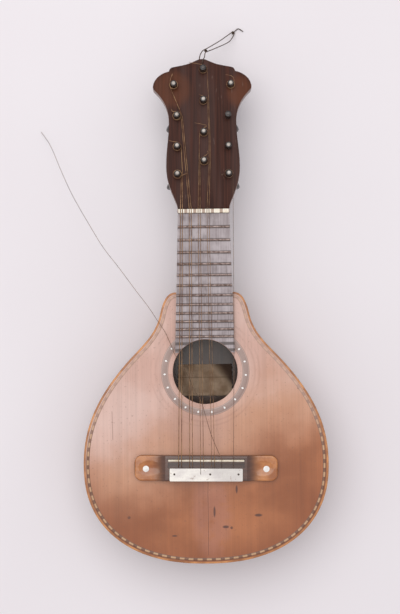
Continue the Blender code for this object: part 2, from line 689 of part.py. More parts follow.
def build_pegs(neck, veneer):
    """Friction pegs in tapered holes; each peg's origin lies on its axis in the head's face."""
    pattern = loft("peg_pattern", peg_rings(), CUTTERS, PEG_WOOD, 40)
    for name in PEGS:
        column = name.split("_")[0]
        peg = add_object("peg_" + name, pattern.data, PARTS)
        peg.matrix_world = peg_frame(name) @ Matrix.Rotation(math.radians(PEG_TURN_DEG[column]), 4, "Z")
    bpy.data.objects.remove(pattern)
    margin = 0.004
    taper = PEG_TAPER / -HEAD_BACK
    hole_length = 2 * margin - HEAD_BACK
    centre = HEAD_BACK / 2
    frames = [peg_frame(name) @ Matrix.Translation((0, 0, centre)) for name in PEGS]
    corner = 1 / math.cos(math.pi / PEG_SEGMENTS)
    lower = (POST_RADIUS + PEG_TAPER + taper * margin + PEG_CLEARANCE) * corner
    upper = (POST_RADIUS - taper * margin + PEG_CLEARANCE) * corner
    holes = cones("peg_holes", frames, lower, upper, hole_length, PEG_SEGMENTS, CUTTERS)
    cord_place = HEAD_FRAME @ Matrix.Translation((0, HEAD_LENGTH - CORD_HOLE_TO_PEAK, centre))
    cord_hole = cones("cord_hole", [cord_place], CORD_HOLE_RADIUS, CORD_HOLE_RADIUS, hole_length, 12, CUTTERS)
    for item in (neck, veneer):
        boolean(item, holes)
        boolean(item, cord_hole)


# Bridge

def rounded_rectangle(half_x, low_y, high_y, corner, steps):
    points = []
    for centre_x, centre_y, start in ((half_x - corner, high_y - corner, 0), (corner - half_x, high_y - corner, 90),
                                      (corner - half_x, low_y + corner, 180), (half_x - corner, low_y + corner, 270)):
        for step in range(steps + 1):
            angle = math.radians(start + 90 * step / steps)
            points.append((centre_x + corner * math.cos(angle), centre_y + corner * math.sin(angle)))
    return points


def wing_profile(side):
    """What is taken off above a wing: a hollow ramp down from the block, then level to the end."""
    ramp_end = BLOCK_HALF + math.sqrt(WING_RAMP_RADIUS ** 2
                                      - (WING_RAMP_RADIUS - BLOCK_HEIGHT + WING_HEIGHT) ** 2)
    top = WING_HEIGHT + WING_RAMP_RADIUS
    profile = []
    for step in range(7):
        x = BLOCK_HALF + (ramp_end - BLOCK_HALF) * step / 6
        profile.append((side * x, top - math.sqrt(WING_RAMP_RADIUS ** 2 - (ramp_end - x) ** 2)))
    profile.append((side * (BRIDGE_HALF + 0.01), WING_HEIGHT))
    profile.append((side * (BRIDGE_HALF + 0.01), BLOCK_HEIGHT + 0.01))
    profile.append((side * BLOCK_HALF, BLOCK_HEIGHT + 0.01))
    return profile


def dish_cutter():
    """Shallow oval hollows in both wings."""
    bm = bmesh.new()
    radii = (0.0150, 0.0105, 0.0040)
    for side in (-1, 1):
        centre = (side * (DOT_OFFSET - 0.0035), -(BRIDGE_BACK - BRIDGE_FRONT) / 2, WING_HEIGHT - DISH_DEPTH + radii[2])
        place = Matrix.Translation(centre) @ Matrix.Diagonal((*radii, 1.0))
        bmesh.ops.create_uvsphere(bm, u_segments=16, v_segments=8, radius=1.0, matrix=place)
    return mesh_object("wing_dishes", bm, CUTTERS)


def build_bridge():
    """Block with the saddle slot and the tie channel between two thin, hollowed wings."""
    bridge = plate("bridge", [rounded_rectangle(BRIDGE_HALF, -BRIDGE_BACK, BRIDGE_FRONT, BRIDGE_CORNER, 4)],
                   0.0, BLOCK_HEIGHT, PARTS, BRIDGE_WOOD)
    bridge.matrix_world = BRIDGE_FRAME
    bevel(bridge, 0.0008, 1)
    cutters = []
    for side, name in ((-1, "wing_left_cut"), (1, "wing_right_cut")):
        cut = plate(name, [wing_profile(side)], -0.05, 0.05, CUTTERS)
        cut.matrix_world = BRIDGE_FRAME @ Matrix.Rotation(math.pi / 2, 4, "X")
        cutters.append(cut)
    above = 0.01
    slot = boxes("saddle_slot", [(0, 0, SADDLE_SLOT_FLOOR + above / 2)],
                 (2 * (SADDLE_HALF + GAP), SADDLE_THICKNESS + 2 * GAP, above), CUTTERS)
    channel = boxes("tie_channel", [(0, -(CHANNEL_FRONT + CHANNEL_BACK) / 2, CHANNEL_FLOOR + above / 2)],
                    (2 * (SADDLE_HALF + GAP), CHANNEL_BACK - CHANNEL_FRONT, above), CUTTERS)
    frames = []
    for course in range(COURSES):
        for side in (-1, 1):
            centre = (saddle_x(course, side), -CHANNEL_BACK - TIE_HOLE_DEPTH / 2, TIE_HOLE_HEIGHT)
            frames.append(Matrix.Translation(centre) @ Matrix.Rotation(math.pi / 2, 4, "X"))
    ties = cones("tie_holes", frames, TIE_HOLE_RADIUS, TIE_HOLE_RADIUS, TIE_HOLE_DEPTH + 0.001, 8, CUTTERS)
    seats = cones("dot_seats", [Matrix.Translation((side * DOT_OFFSET, -DOT_SETBACK, dot_floor() + above / 2))
                                for side in (-1, 1)],
                  DOT_RADIUS + GAP, DOT_RADIUS + GAP, above, 16, CUTTERS)
    dishes = dish_cutter()
    for cut in (slot, channel, ties, seats, dishes):
        cut.matrix_world = BRIDGE_FRAME
        cutters.append(cut)
    for cut in cutters:
        boolean(bridge, cut)


def dot_floor():
    return WING_HEIGHT - DISH_DEPTH - DOT_THICKNESS + 0.0002


def build_bridge_fittings():
    saddle_bottom = SADDLE_SLOT_FLOOR + GAP
    saddle_top = SADDLE_TOP_Z - BRIDGE_BASE
    saddle = boxes("saddle", [(0, 0, (saddle_bottom + saddle_top) / 2)],
                   (2 * SADDLE_HALF, SADDLE_THICKNESS, saddle_top - saddle_bottom), PARTS, BONE)
    bevel(saddle, 0.0006, 2)
    saddle.matrix_world = BRIDGE_FRAME
    bottom = BLOCK_HEIGHT + GAP
    front = -CHANNEL_BACK - 0.0004
    holes = [[(x + PLATE_HOLE_RADIUS * math.cos(a), -0.0144 + PLATE_HOLE_RADIUS * math.sin(a))
              for a in np.linspace(0, 2 * math.pi, 8, endpoint=False)] for x in PLATE_HOLES]
    outline = rounded_rectangle(PLATE_HALF, -PLATE_BACK, front, 0.0008, 2)
    tie_plate = plate("tie_plate", [outline] + holes, bottom, bottom + PLATE_THICKNESS, PARTS, PEARL)
    tie_plate.matrix_world = BRIDGE_FRAME
    for side, name in ((-1, "bridge_dot_left"), (1, "bridge_dot_right")):
        centre = Matrix.Translation((side * DOT_OFFSET, -DOT_SETBACK, dot_floor() + GAP + DOT_THICKNESS / 2))
        dot = cones(name, [Matrix.Identity(4)], DOT_RADIUS, DOT_RADIUS, DOT_THICKNESS, 16, PARTS, PEARL)
        dot.matrix_world = BRIDGE_FRAME @ centre


# Strings

def on_head(u, v, height):
    return HEAD_FRAME @ Vector((u, v, height))


def tangent_angle(centre, target, radius, sense):
    """Angle on a circle where the line from a target point touches it; sense +1 touches on the right."""
    offset = np.array(target) - np.array(centre)
    base = math.atan2(offset[1], offset[0])
    return base + sense * math.acos(radius / np.linalg.norm(offset))


def winding(peg, start_angle, turns, sense, radius, height=COIL_HEIGHT):
    """Turns round a post, rising from the string's side; sense +1 is anticlockwise seen from the front."""
    u, v = PEGS[peg]
    pitch = 2 * radius + COIL_PITCH_GAP
    count = math.ceil(turns * COIL_TURN_POINTS)
    points = []
    for step in range(count + 1):
        done = turns * step / count
        angle = start_angle + sense * 2 * math.pi * done
        points.append((u + COIL_RADIUS * math.cos(angle), v + COIL_RADIUS * math.sin(angle),
                       height + pitch * done))
    return points


def beside(peg, angle_deg, passing_radius, extra=0.0):
    """Point in the head's plane that passes a wound post, at an angle from the post's axis."""
    u, v = PEGS[peg]
    reach = COIL_RADIUS + max(COURSE_RADII) + PASSING_GAP + passing_radius + extra
    return (u + reach * math.cos(math.radians(angle_deg)), v + reach * math.sin(math.radians(angle_deg)))


def least_self_gap(points, radius):
    """Least distance between two stretches of one wire that lie more than half a turn apart along it."""
    p = np.array([tuple(point) for point in points])
    middles = (p[1:] + p[:-1]) / 2
    travelled = np.cumsum(np.linalg.norm(np.diff(p, axis=0), axis=1))
    apart = np.abs(travelled[:, None] - travelled[None, :]) > math.pi * COIL_RADIUS
    distance = np.linalg.norm(middles[:, None] - middles[None, :], axis=2)
    return float(distance[apart].min() - 2 * radius)


class StringRoute:
    """Where one string runs: its peg, how it winds there, what it passes, its course and its cut end."""

    def __init__(self, peg, sense, whole_turns, course, side, passes=(), tail=()):
        self.peg = peg
        self.sense = sense
        self.whole_turns = whole_turns
        self.course = course
        self.side = side
        self.passes = passes
        self.tail = tail


STRINGS = {
    "string_1a": StringRoute("left_4", 1, 2, 0, -1, (), ((4.6, -1.8, 0.2), (10.4, 0.6, 0.6))),
    "string_1b": StringRoute("left_3", 1, 2, 0, 1, (("left_4", 0, 0.0),), ((-5.0, 5.2, 0.3), (-8.4, 6.2, 0.9))),
    "string_2a": StringRoute("left_2", 1, 2, 1, -1, (), ((-4.6, 4.6, 0.2), (-5.4, 6.6, 0.6))),
    "string_2b": StringRoute("left_1", -1, 2, 1, 1, (("left_2", 42, 0.3), ("left_2", -4, 0.3)),
                             ((-3.2, 6.0, 0.2), (-1.0, 11.5, 1.2))),
    "string_3a": StringRoute("centre_3", -1, 2, 2, -1, (), ((3.4, 6.6, 0.2), (-1.5, 8.2, 1.0), (-9.6, 9.8, 1.4))),
    "string_3b": StringRoute("centre_4", -1, 2, 2, 1, (), ((2.4, 6.2, 0.2), (4.4, 8.6, 0.4), (3.4, 10.2, 0.5))),
    "string_4a": StringRoute("centre_2", 1, 2, 3, -1, (("centre_3", 0, 0.1), ("centre_4", 0, 0.1)),
                             ((-2.6, 5.4, 0.1), (-5.0, 6.4, 0.4))),
    "string_4b": StringRoute("centre_1", 1, 2, 3, 1,
                             (("centre_2", 0, 0.3), ("centre_3", 0, 1.3), ("centre_4", 0, 1.3)),
                             ((-3.6, 5.2, 0.2), (-14.8, 7.0, 1.6))),
    "string_6a": StringRoute("right_4", 1, 2, 5, -1, (), ((-5.2, -0.6, 0.2), (-7.6, -1.6, 0.2), (-4.6, -5.6, 0.2))),
}


def winding_turns(route, start):
    """Whole turns and the part turn after which the wire leaves the winding straight towards its cut end."""
    across, up = np.array(route.tail[0][:2]) / 1000
    lead = math.acos(min(1.0, COIL_RADIUS / math.hypot(across, up)))
    stop = math.atan2(up, across) - route.sense * lead
    return route.whole_turns + (route.sense * (stop - start)) % (2 * math.pi) / (2 * math.pi)


def tail_points(route, height):
    """The cut end beyond the winding, given in millimetres from the peg's axis and over the winding's end."""
    u, v = PEGS[route.peg]
    return [on_head(u + du / 1000, v + dv / 1000, height + rise / 1000) for du, dv, rise in route.tail]


def tie_points(course, side, radius):
    """From the saddle down into the string's hole in the tie block."""
    x = saddle_x(course, side)
    top = SADDLE_TOP_Z - BRIDGE_BASE + GAP + radius
    return [BRIDGE_FRAME @ Vector(place) for place in
            ((x, SADDLE_THICKNESS / 2, top), (x, -SADDLE_THICKNESS / 2, top - 0.0001),
             (x, -CHANNEL_BACK, TIE_HOLE_HEIGHT), (x, -CHANNEL_BACK - TIE_HOLE_DEPTH + 0.001, TIE_HOLE_HEIGHT))]


def string_points(route):
    """Whole path of a string: cut end, winding, past the other posts, over nut and saddle, into the tie block."""
    radius = COURSE_RADII[route.course]
    on_nut = route.course < COURSES - 1
    waypoints = [beside(peg, angle, radius, extra / 1000) for peg, angle, extra in route.passes]
    saddle = tie_points(route.course, route.side, radius)
    if on_nut:
        x = nut_x(route.course, route.side)
        z = GROOVE_FLOOR + GAP + radius
        over_frets = [Vector((x, NUT_Y + NUT_DEPTH, z)), Vector((x, NUT_Y, z))]
        target = waypoints[0] if waypoints else (x, 0.0)
        height = COIL_HEIGHT
    else:
        last_fret = fret_y(FRET_COUNT)
        over_frets = [Vector((board_half(last_fret) - GAP, last_fret, FRET_TOP + 2 * GAP + radius))]
        target = (over_frets[0].x, last_fret - HEAD_START_Y)
        height = SLIPPED_COIL_HEIGHT
    start = tangent_angle(PEGS[route.peg], target, COIL_RADIUS, route.sense)
    coil = winding(route.peg, start, winding_turns(route, start), route.sense, radius, height)
    far = np.array(target if not waypoints else (nut_x(route.course, route.side), 0.0))
    near = np.array(coil[0][:2])
    nut_height = (GROOVE_FLOOR + GAP + radius - HEAD_FACE_Z) / math.cos(TILT)
    passing = []
    for u, v in waypoints:
        share = np.linalg.norm(np.array((u, v)) - near) / np.linalg.norm(far - near)
        passing.append(on_head(u, v, COIL_HEIGHT + (nut_height - COIL_HEIGHT) * min(1.0, share)))
    path = tail_points(route, coil[-1][2])[::-1]
    path += [on_head(*point) for point in coil[::-1]]
    return path + passing + over_frets + saddle


def build_strings():
    gaps = []
    for name, route in STRINGS.items():
        radius = COURSE_RADII[route.course]
        points = string_points(route)
        tube(name, points, radius, 1, STRING_METAL)
        gaps.append(least_self_gap(points, radius))
    radius = COURSE_RADII[5]
    coil = winding("right_1", math.radians(200), 2.4, 1, radius)
    u, v = PEGS["right_1"]
    stub = [on_head(*point) for point in coil]
    stub += [on_head(u + 0.0024, v + 0.0075, 0.0052), on_head(u - 0.0052, v + 0.0102, 0.0058)]
    tube("string_stub", stub, radius, 1, STRING_METAL)
    gaps.append(least_self_gap(stub, radius))
    print("least gap between turns of a winding: %.2f mm" % (min(gaps) * 1000))


# Free cords

LOOSE_STRING_ROUTE = ((0.0053, -0.1303, 0.0815), (-0.0042, -0.0974, 0.0795), (-0.0115, -0.0841, 0.0785),
                      (-0.0243, -0.0567, 0.0778), (-0.0309, -0.0482, 0.0776), (-0.0345, -0.0400, 0.0775),
                      (-0.0414, -0.0238, 0.0773), (-0.0496, -0.0110, 0.0772), (-0.0595, 0.0042, 0.0765),
                      (-0.0729, 0.0220, 0.0742), (-0.0897, 0.0449, 0.0690), (-0.1069, 0.0673, 0.0620),
                      (-0.1225, 0.0927, 0.0530), (-0.1404, 0.1237, 0.0400), (-0.1533, 0.1507, 0.0280),
                      (-0.1667, 0.1811, 0.0130), (-0.1783, 0.1984, 0.0008))

HANGING_CORD_ROUTE = ((0.0460, 0.3070, 0.0008), (0.0410, 0.3101, 0.0008), (0.0376, 0.3081, 0.0010),
                      (0.0360, 0.3040, 0.0025), (0.0344, 0.3004, 0.0050), (0.0292, 0.2933, 0.0120),
                      (0.0143, 0.2837, 0.0280), (0.0062, 0.2790, 0.0372), (0.0040, 0.2772, 0.0412),
                      (0.0033, 0.2742, 0.0462), (0.0028, 0.2704, 0.0520), (0.0021, 0.2682, 0.0564),
                      (0.0010, 0.2659, 0.0580), (0.0003, 0.2636, 0.0582), (0.0, 0.2622, 0.0566),
                      (0.0, 0.2611, 0.0480), (0.0, 0.2602, 0.0415), (-0.0007, 0.2608, 0.0396),
                      (-0.0018, 0.2642, 0.0394), (-0.0027, 0.2690, 0.0400), (-0.0022, 0.2732, 0.0403),
                      (-0.0004, 0.2776, 0.0397), (0.0022, 0.2805, 0.0382), (0.0060, 0.2828, 0.0352),
                      (0.0196, 0.2931, 0.0210), (0.0318, 0.3041, 0.0062), (0.0340, 0.3062, 0.0022))


LOOSE_STRING_POINTS = 60
HANGING_CORD_POINTS = 66


def smooth_route(points, count):
    """Points at even steps along a smooth curve through the route's own points."""
    p = np.array([tuple(point) for point in points])
    ends = np.vstack((2 * p[0] - p[1], p, 2 * p[-1] - p[-2]))
    dense = []
    for i in range(1, len(ends) - 2):
        a, b, c, d = ends[i - 1:i + 3]
        for t in np.linspace(0, 1, 24, endpoint=False):
            dense.append(0.5 * (2 * b + (c - a) * t + (2 * a - 5 * b + 4 * c - d) * t * t
                                + (3 * b - a - 3 * c + d) * t ** 3))
    dense = np.array(dense + [ends[-2]])
    travelled = np.concatenate(([0], np.cumsum(np.linalg.norm(np.diff(dense, axis=0), axis=1))))
    even = np.linspace(0, travelled[-1], count)
    return np.column_stack([np.interp(even, travelled, dense[:, axis]) for axis in range(3)])


def build_cords():
    """The broken string that lies loose, and the twine loop that the instrument hangs by."""
    radius = COURSE_RADII[4]
    start = tie_points(4, -1, radius)[::-1]
    route = [tuple(point) for point in start] + list(LOOSE_STRING_ROUTE)
    free = smooth_route(route[3:], LOOSE_STRING_POINTS)
    whole = np.vstack((route[:3], free))
    tube("loose_string", whole, radius, 2, STRING_METAL)
    print("loose string length: %.3f m" % np.linalg.norm(np.diff(whole, axis=0), axis=1).sum())
    twine = smooth_route(HANGING_CORD_ROUTE, HANGING_CORD_POINTS)
    tube("hanging_cord", twine, CORD_RADIUS, 2, TWINE)
    print("hanging cord length: %.3f m" % np.linalg.norm(np.diff(twine, axis=0), axis=1).sum())


build_soundboard()
build_edge_trim()
build_back()
build_sides()
build_linings()
build_blocks()
build_bars()
neck_object = build_neck()
veneer_object = build_head_veneer()
build_fretboard()
build_frets()
build_nut()
build_pegs(neck_object, veneer_object)
build_bridge()
build_bridge_fittings()
build_strings()
build_cords()
bpy.context.view_layer.update()
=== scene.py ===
# %% [markdown]
# A bandurria seen from straight above, lying on a pale table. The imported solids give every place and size,
# so this lesson only adds what the eye wants: smooth surfaces, wood, bone, pearl, wire and light.

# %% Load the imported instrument
import math

import bmesh
import bpy
import numpy as np
from mathutils import Matrix, Vector


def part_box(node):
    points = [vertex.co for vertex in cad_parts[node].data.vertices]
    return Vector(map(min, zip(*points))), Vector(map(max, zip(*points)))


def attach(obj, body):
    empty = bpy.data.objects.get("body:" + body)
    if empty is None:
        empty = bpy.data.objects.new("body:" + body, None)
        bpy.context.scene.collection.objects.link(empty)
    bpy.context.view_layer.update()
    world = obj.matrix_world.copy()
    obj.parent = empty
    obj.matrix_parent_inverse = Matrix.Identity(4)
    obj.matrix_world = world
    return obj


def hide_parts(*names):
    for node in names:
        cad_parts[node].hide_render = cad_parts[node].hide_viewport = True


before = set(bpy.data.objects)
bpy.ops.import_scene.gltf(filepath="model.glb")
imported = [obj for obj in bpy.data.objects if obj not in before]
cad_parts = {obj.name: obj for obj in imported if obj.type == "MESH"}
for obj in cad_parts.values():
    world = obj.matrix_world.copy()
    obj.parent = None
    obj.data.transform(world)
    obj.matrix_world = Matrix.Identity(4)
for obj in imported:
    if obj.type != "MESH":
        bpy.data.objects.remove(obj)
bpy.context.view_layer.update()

# %% [markdown]
# The photograph was taken from above the middle of the instrument. A camera can be framed by eye, but one
# that is worked out from a known length is right at once: the frame is 400 by 614 pixels, and the strings'
# 260 mm on it give the focal length in pixels. The instrument lies turned by a little more than half a
# degree in the picture, so the camera takes that small roll.

# %% Camera over the table
CAMERA_PLACE = (-0.0048, 0.0031, 1.5835)
CAMERA_ROLL_DEG = -0.61
FOCAL_PIXELS = 1431.7
FRAME_HEIGHT_PIXELS = 614
SENSOR_HEIGHT_MM = 24.0


def add_camera():
    """Lens in mm: the sensor's height times the focal length in pixels, over the frame's height in
    pixels."""
    lens = bpy.data.cameras.new("view_from_above")
    lens.sensor_fit = "VERTICAL"
    lens.sensor_height = SENSOR_HEIGHT_MM
    lens.lens = SENSOR_HEIGHT_MM * FOCAL_PIXELS / FRAME_HEIGHT_PIXELS
    camera = bpy.data.objects.new("view_from_above", lens)
    camera.location = CAMERA_PLACE
    camera.rotation_euler = (0, 0, math.radians(CAMERA_ROLL_DEG))
    bpy.context.scene.collection.objects.link(camera)
    bpy.context.scene.camera = camera
    return lens.lens


print("lens: %.1f mm" % add_camera())

# %% [markdown]
# Old wood, bone and wire change from place to place. Their materials could be joined up by hand in the node
# editor, but written as arithmetic they read like a recipe. A Reading wraps one output of a node, and
# Python's operators on it add Math nodes. A Finish is one Principled material, with one method that adds
# any other node.

# %% Arithmetic on sockets


class Reading:
    """A number or a vector that varies over a surface."""

    def __init__(self, finish, socket):
        self.finish = finish
        self.socket = socket

    def maths(self, operation, *others):
        """A Math node: this reading is its first input, and the others follow."""
        return self.finish.node("Math", {"operation": operation}, dict(enumerate((self,) + others)))

    def __add__(self, other):
        return self.maths("ADD", other)

    __radd__ = __add__

    def __sub__(self, other):
        return self.maths("SUBTRACT", other)

    def __rsub__(self, other):
        return self.finish.node("Math", {"operation": "SUBTRACT"}, {0: other, 1: self})

    def __mul__(self, other):
        return self.maths("MULTIPLY", other)

    __rmul__ = __mul__

    def __truediv__(self, other):
        return self.maths("DIVIDE", other)

    def __rtruediv__(self, other):
        return self.finish.node("Math", {"operation": "DIVIDE"}, {0: other, 1: self})

    def above(self, limit):
        return self.maths("GREATER_THAN", limit)

    def below(self, limit):
        return self.maths("LESS_THAN", limit)

    def size(self):
        return self.maths("ABSOLUTE")

    def fraction(self):
        return self.maths("FRACT")

    def rise(self, low, high):
        """0 up to low, 1 from high, and a smooth step between."""
        settings = {"interpolation_type": "SMOOTHSTEP"}
        return self.finish.node("MapRange", settings, {"Value": self, "From Min": low, "From Max": high})

    def scaled(self, factors):
        """The vector with each part multiplied by its own factor."""
        return self.finish.node("VectorMath", {"operation": "MULTIPLY"}, {0: self, 1: factors})


# %% A finish is one material


class Finish:
    """A Principled material whose colour, roughness and relief are fed by readings."""

    def __init__(self, name, colour=(0.5, 0.5, 0.5), roughness=0.5, metallic=0.0, coat=0.0,
                 coat_roughness=0.1, shine=0.5):
        self.material = bpy.data.materials.new(name)
        self.material.use_nodes = True
        self.tree = self.material.node_tree
        self.shader = self.tree.nodes["Principled BSDF"]
        self.shader.inputs["Base Color"].default_value = (*colour, 1.0)
        self.shader.inputs["Roughness"].default_value = roughness
        self.shader.inputs["Metallic"].default_value = metallic
        self.shader.inputs["Specular IOR Level"].default_value = shine
        self.shader.inputs["Coat Weight"].default_value = coat
        self.shader.inputs["Coat Roughness"].default_value = coat_roughness

    def node(self, kind, settings=None, inputs=None, output=0):
        """One node: its settings first, then the values or links of its sockets; returns an output's
        reading."""
        made = self.tree.nodes.new("ShaderNode" + kind)
        for key, value in (settings or {}).items():
            setattr(made, key, value)
        for key, value in (inputs or {}).items():
            self.feed(made.inputs[key], value)
        return Reading(self, made.outputs[output])

    def feed(self, socket, value):
        """A reading is linked to the socket; a value is written there, a colour with its fourth part."""
        if isinstance(value, Reading):
            self.tree.links.new(value.socket, socket)
        elif isinstance(value, tuple) and len(value) == 3 and len(socket.default_value) == 4:
            socket.default_value = (*value, 1.0)
        else:
            socket.default_value = value

    def place(self):
        """The point on the surface, in metres."""
        return self.node("TexCoord", output="Object")

    def along(self):
        """The piece's own UV map: along and across."""
        return self.node("TexCoord", output="UV")

    def parts(self, vector):
        """The three parts of a vector, as readings."""
        split = self.node("SeparateXYZ", None, {0: vector})
        outputs = split.socket.node.outputs
        return [Reading(self, outputs[axis]) for axis in range(3)]

    def noise(self, vector, scale, detail):
        """Clouds from 0 to 1: scale says how many to the metre, detail how many finer layers lie on
        them."""
        return self.node("TexNoise", None, {"Vector": vector, "Scale": scale, "Detail": detail})

    def mix(self, factor, first, second):
        """A colour between two others."""
        return self.node("Mix", {"data_type": "RGBA"}, {0: factor, 6: first, 7: second}, 2)

    def shade(self, colour, amount):
        """A colour multiplied by a number that varies."""
        grey = self.node("CombineColor", None, {0: amount, 1: amount, 2: amount})
        settings = {"data_type": "RGBA", "blend_type": "MULTIPLY"}
        return self.node("Mix", settings, {0: 1.0, 6: colour, 7: grey}, 2)

    def paint(self, colour=None, roughness=None, relief=None, depth=0.0002, strength=0.5):
        """Feeds the shader; relief is a height of 0 to 1, which stands depth metres high."""
        if colour is not None:
            self.feed(self.shader.inputs["Base Color"], colour)
        if roughness is not None:
            self.feed(self.shader.inputs["Roughness"], roughness)
        if relief is not None:
            bump = self.node("Bump", None, {"Strength": strength, "Distance": depth, "Height": relief})
            self.feed(self.shader.inputs["Normal"], bump)
        return self


def dot_mask(x, y, centre, radii):
    """1 inside a soft oval, 0 outside it: one less the step in (x / radius) squared + (y / radius)
    squared."""
    across = (x - centre[0]) / radii[0]
    up = (y - centre[1]) / radii[1]
    return 1 - (across * across + up * up).rise(0.3, 1.4)


# %% [markdown]
# The pieces of an instrument are bent, carved and turned, and could be pushed into shape by hand. Here each
# new piece is a surface of two parameters, a grid of points worked out as one array, so its shape follows
# from a few sizes that can be read. One function turns such a grid into a mesh with a UV map, and a second
# builds a tube of rings along a path.

# %% Meshes from arrays
INSTRUMENT = bpy.data.collections.new("finished_bandurria")
bpy.context.scene.collection.children.link(INSTRUMENT)
SHARP_EDGE_DEG = 40


def surface(name, grid, finish, wrap_rows=False, wrap_columns=False, caps=False, uv=None, body="root"):
    """Object from a grid of points [row, column, xyz]; rows or columns may close on themselves.
    Face (i, j) joins points (i, j), (i, j+1), (i+1, j+1) and (i+1, j), all indexes worked out at once.
    uv is an array [row, column, 2] of places on the piece; caps closes the first and last row."""
    rows, columns = grid.shape[:2]
    index = np.arange(rows * columns).reshape(rows, columns)
    down = np.roll(index, -1, axis=0) if wrap_rows else index[1:]
    here = index if wrap_rows else index[:-1]
    if wrap_columns:
        right_here = np.roll(here, -1, axis=1)
        right_down = np.roll(down, -1, axis=1)
    else:
        right_here = here[:, 1:]
        right_down = down[:, 1:]
        here = here[:, :-1]
        down = down[:, :-1]
    quads = np.stack((here, right_here, right_down, down), axis=-1).reshape(-1, 4)
    faces = quads.tolist()
    if caps:
        faces.append(index[0][::-1].tolist())
        faces.append(index[-1].tolist())
    mesh = bpy.data.meshes.new(name)
    mesh.from_pydata(grid.reshape(-1, 3).tolist(), [], faces)
    if uv is not None:
        layer = mesh.uv_layers.new(name="along")
        corners = np.empty(len(mesh.loops), dtype=np.int32)
        mesh.loops.foreach_get("vertex_index", corners)
        layer.data.foreach_set("uv", uv.reshape(-1, 2)[corners].astype(np.float32).ravel())
    return finished(name, mesh, finish, body)


def face_outwards(mesh):
    """Turns every face's normal to the outside of the closed surface."""
    bm = bmesh.new()
    bm.from_mesh(mesh)
    bmesh.ops.recalc_face_normals(bm, faces=bm.faces)
    bm.to_mesh(mesh)
    bm.free()


def finished(name, mesh, finish, body):
    """The mesh as an object: smooth except at sharp edges, with one finish, riding on a body."""
    mesh.update()
    mesh.validate()
    face_outwards(mesh)
    mesh.shade_smooth()
    mesh.set_sharp_from_angle(angle=math.radians(SHARP_EDGE_DEG))
    mesh.materials.append(finish.material)
    piece = bpy.data.objects.new(name, mesh)
    INSTRUMENT.objects.link(piece)
    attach(piece, body)
    return piece


# %% Routes and tubes
CURVE_STEPS = 24
RING_GUIDE = (0.13, 0.21, 0.97)


def route_length(path):
    """The sum of the distances from each point to the next."""
    return float(np.linalg.norm(np.diff(np.asarray(path), axis=0), axis=1).sum())


def smooth_route(points, count):
    """Even steps along a smooth curve through points: cubic pieces whose slopes join the neighbours."""
    p = np.array([tuple(point) for point in points], dtype=float)
    ends = np.vstack((2 * p[0] - p[1], p, 2 * p[-1] - p[-2]))
    t = np.linspace(0, 1, CURVE_STEPS, endpoint=False)[None, :, None]
    a, b, c, d = (ends[i:len(ends) - 3 + i][:, None, :] for i in range(4))
    dense = 0.5 * (2 * b + (c - a) * t + (2 * a - 5 * b + 4 * c - d) * t * t
                   + (3 * b - a - 3 * c + d) * t ** 3)
    dense = np.vstack((dense.reshape(-1, 3), p[-1]))
    travelled = np.concatenate(([0], np.cumsum(np.linalg.norm(np.diff(dense, axis=0), axis=1))))
    even = np.linspace(0, travelled[-1], count)
    return np.column_stack([np.interp(even, travelled, dense[:, axis]) for axis in range(3)])


def rings_along(path, radii, sides=8, waviness=0.0, waves_per_metre=0.0):
    """Rings of a tube: each ring is a circle square to the path, its first radius square to one fixed line.
    A wound string's or a twine's ridges are a small sine of the length and the angle together."""
    path = np.asarray(path, dtype=float)
    along = np.gradient(path, axis=0)
    along /= np.linalg.norm(along, axis=1)[:, None]
    first = np.cross(along, RING_GUIDE)
    first /= np.linalg.norm(first, axis=1)[:, None]
    second = np.cross(along, first)
    angle = np.arange(sides) * 2 * math.pi / sides
    travelled = np.concatenate(([0], np.cumsum(np.linalg.norm(np.diff(path, axis=0), axis=1))))
    ridge = 1 + waviness * np.sin(2 * math.pi * waves_per_metre * travelled[:, None] + 2 * angle[None, :])
    size = (np.asarray(radii) * np.ones(len(path)))[:, None] * ridge
    circle = (np.cos(angle)[None, :, None] * first[:, None, :]
              + np.sin(angle)[None, :, None] * second[:, None, :])
    uv = np.stack(np.broadcast_arrays(travelled[:, None], angle[None, :] / (2 * math.pi)), axis=-1)
    return path[:, None, :] + size[:, :, None] * circle, uv


def wire(name, path, radii, finish, sides=8, body="root", waviness=0.0, waves_per_metre=0.0):
    """A closed tube along a path; its UV map is the length in metres and the way round."""
    grid, uv = rings_along(path, radii, sides, waviness, waves_per_metre)
    return surface(name, grid, finish, wrap_columns=True, caps=True, uv=uv, body=body)


# %% [markdown]
# Two cords are free: a thin wound string that broke and lies out past the body, and the dark twine loop
# that the instrument hangs by. A cord can be a curve with a round bevel. A tube of rings is chosen, because
# its ridges are then real and its UV map counts metres, which the winding's and the twine's patterns need.
# The routes are the solids' own.

# %% Finishes of wire and twine


def string_finish(name, bright, dull):
    """Tarnished metal; the winding is the fraction of 2,600 turns to the metre, added to the way round."""
    finish = Finish(name, roughness=0.38, metallic=0.85)
    u, v, _ = finish.parts(finish.along())
    tarnish = finish.noise(finish.place(), 140, 4)
    colour = finish.mix(tarnish.rise(0.38, 0.66), bright, dull)
    winding = ((u * 2600 + v).fraction() - 0.5).size()
    return finish.paint(colour, tarnish * 0.35 + 0.22, relief=winding, depth=0.00004, strength=0.6)


BRONZE = string_finish("tarnished_bronze", (0.36, 0.215, 0.115), (0.17, 0.085, 0.050))
DARK_WIRE = string_finish("darkened_wire", (0.24, 0.15, 0.10), (0.10, 0.062, 0.045))


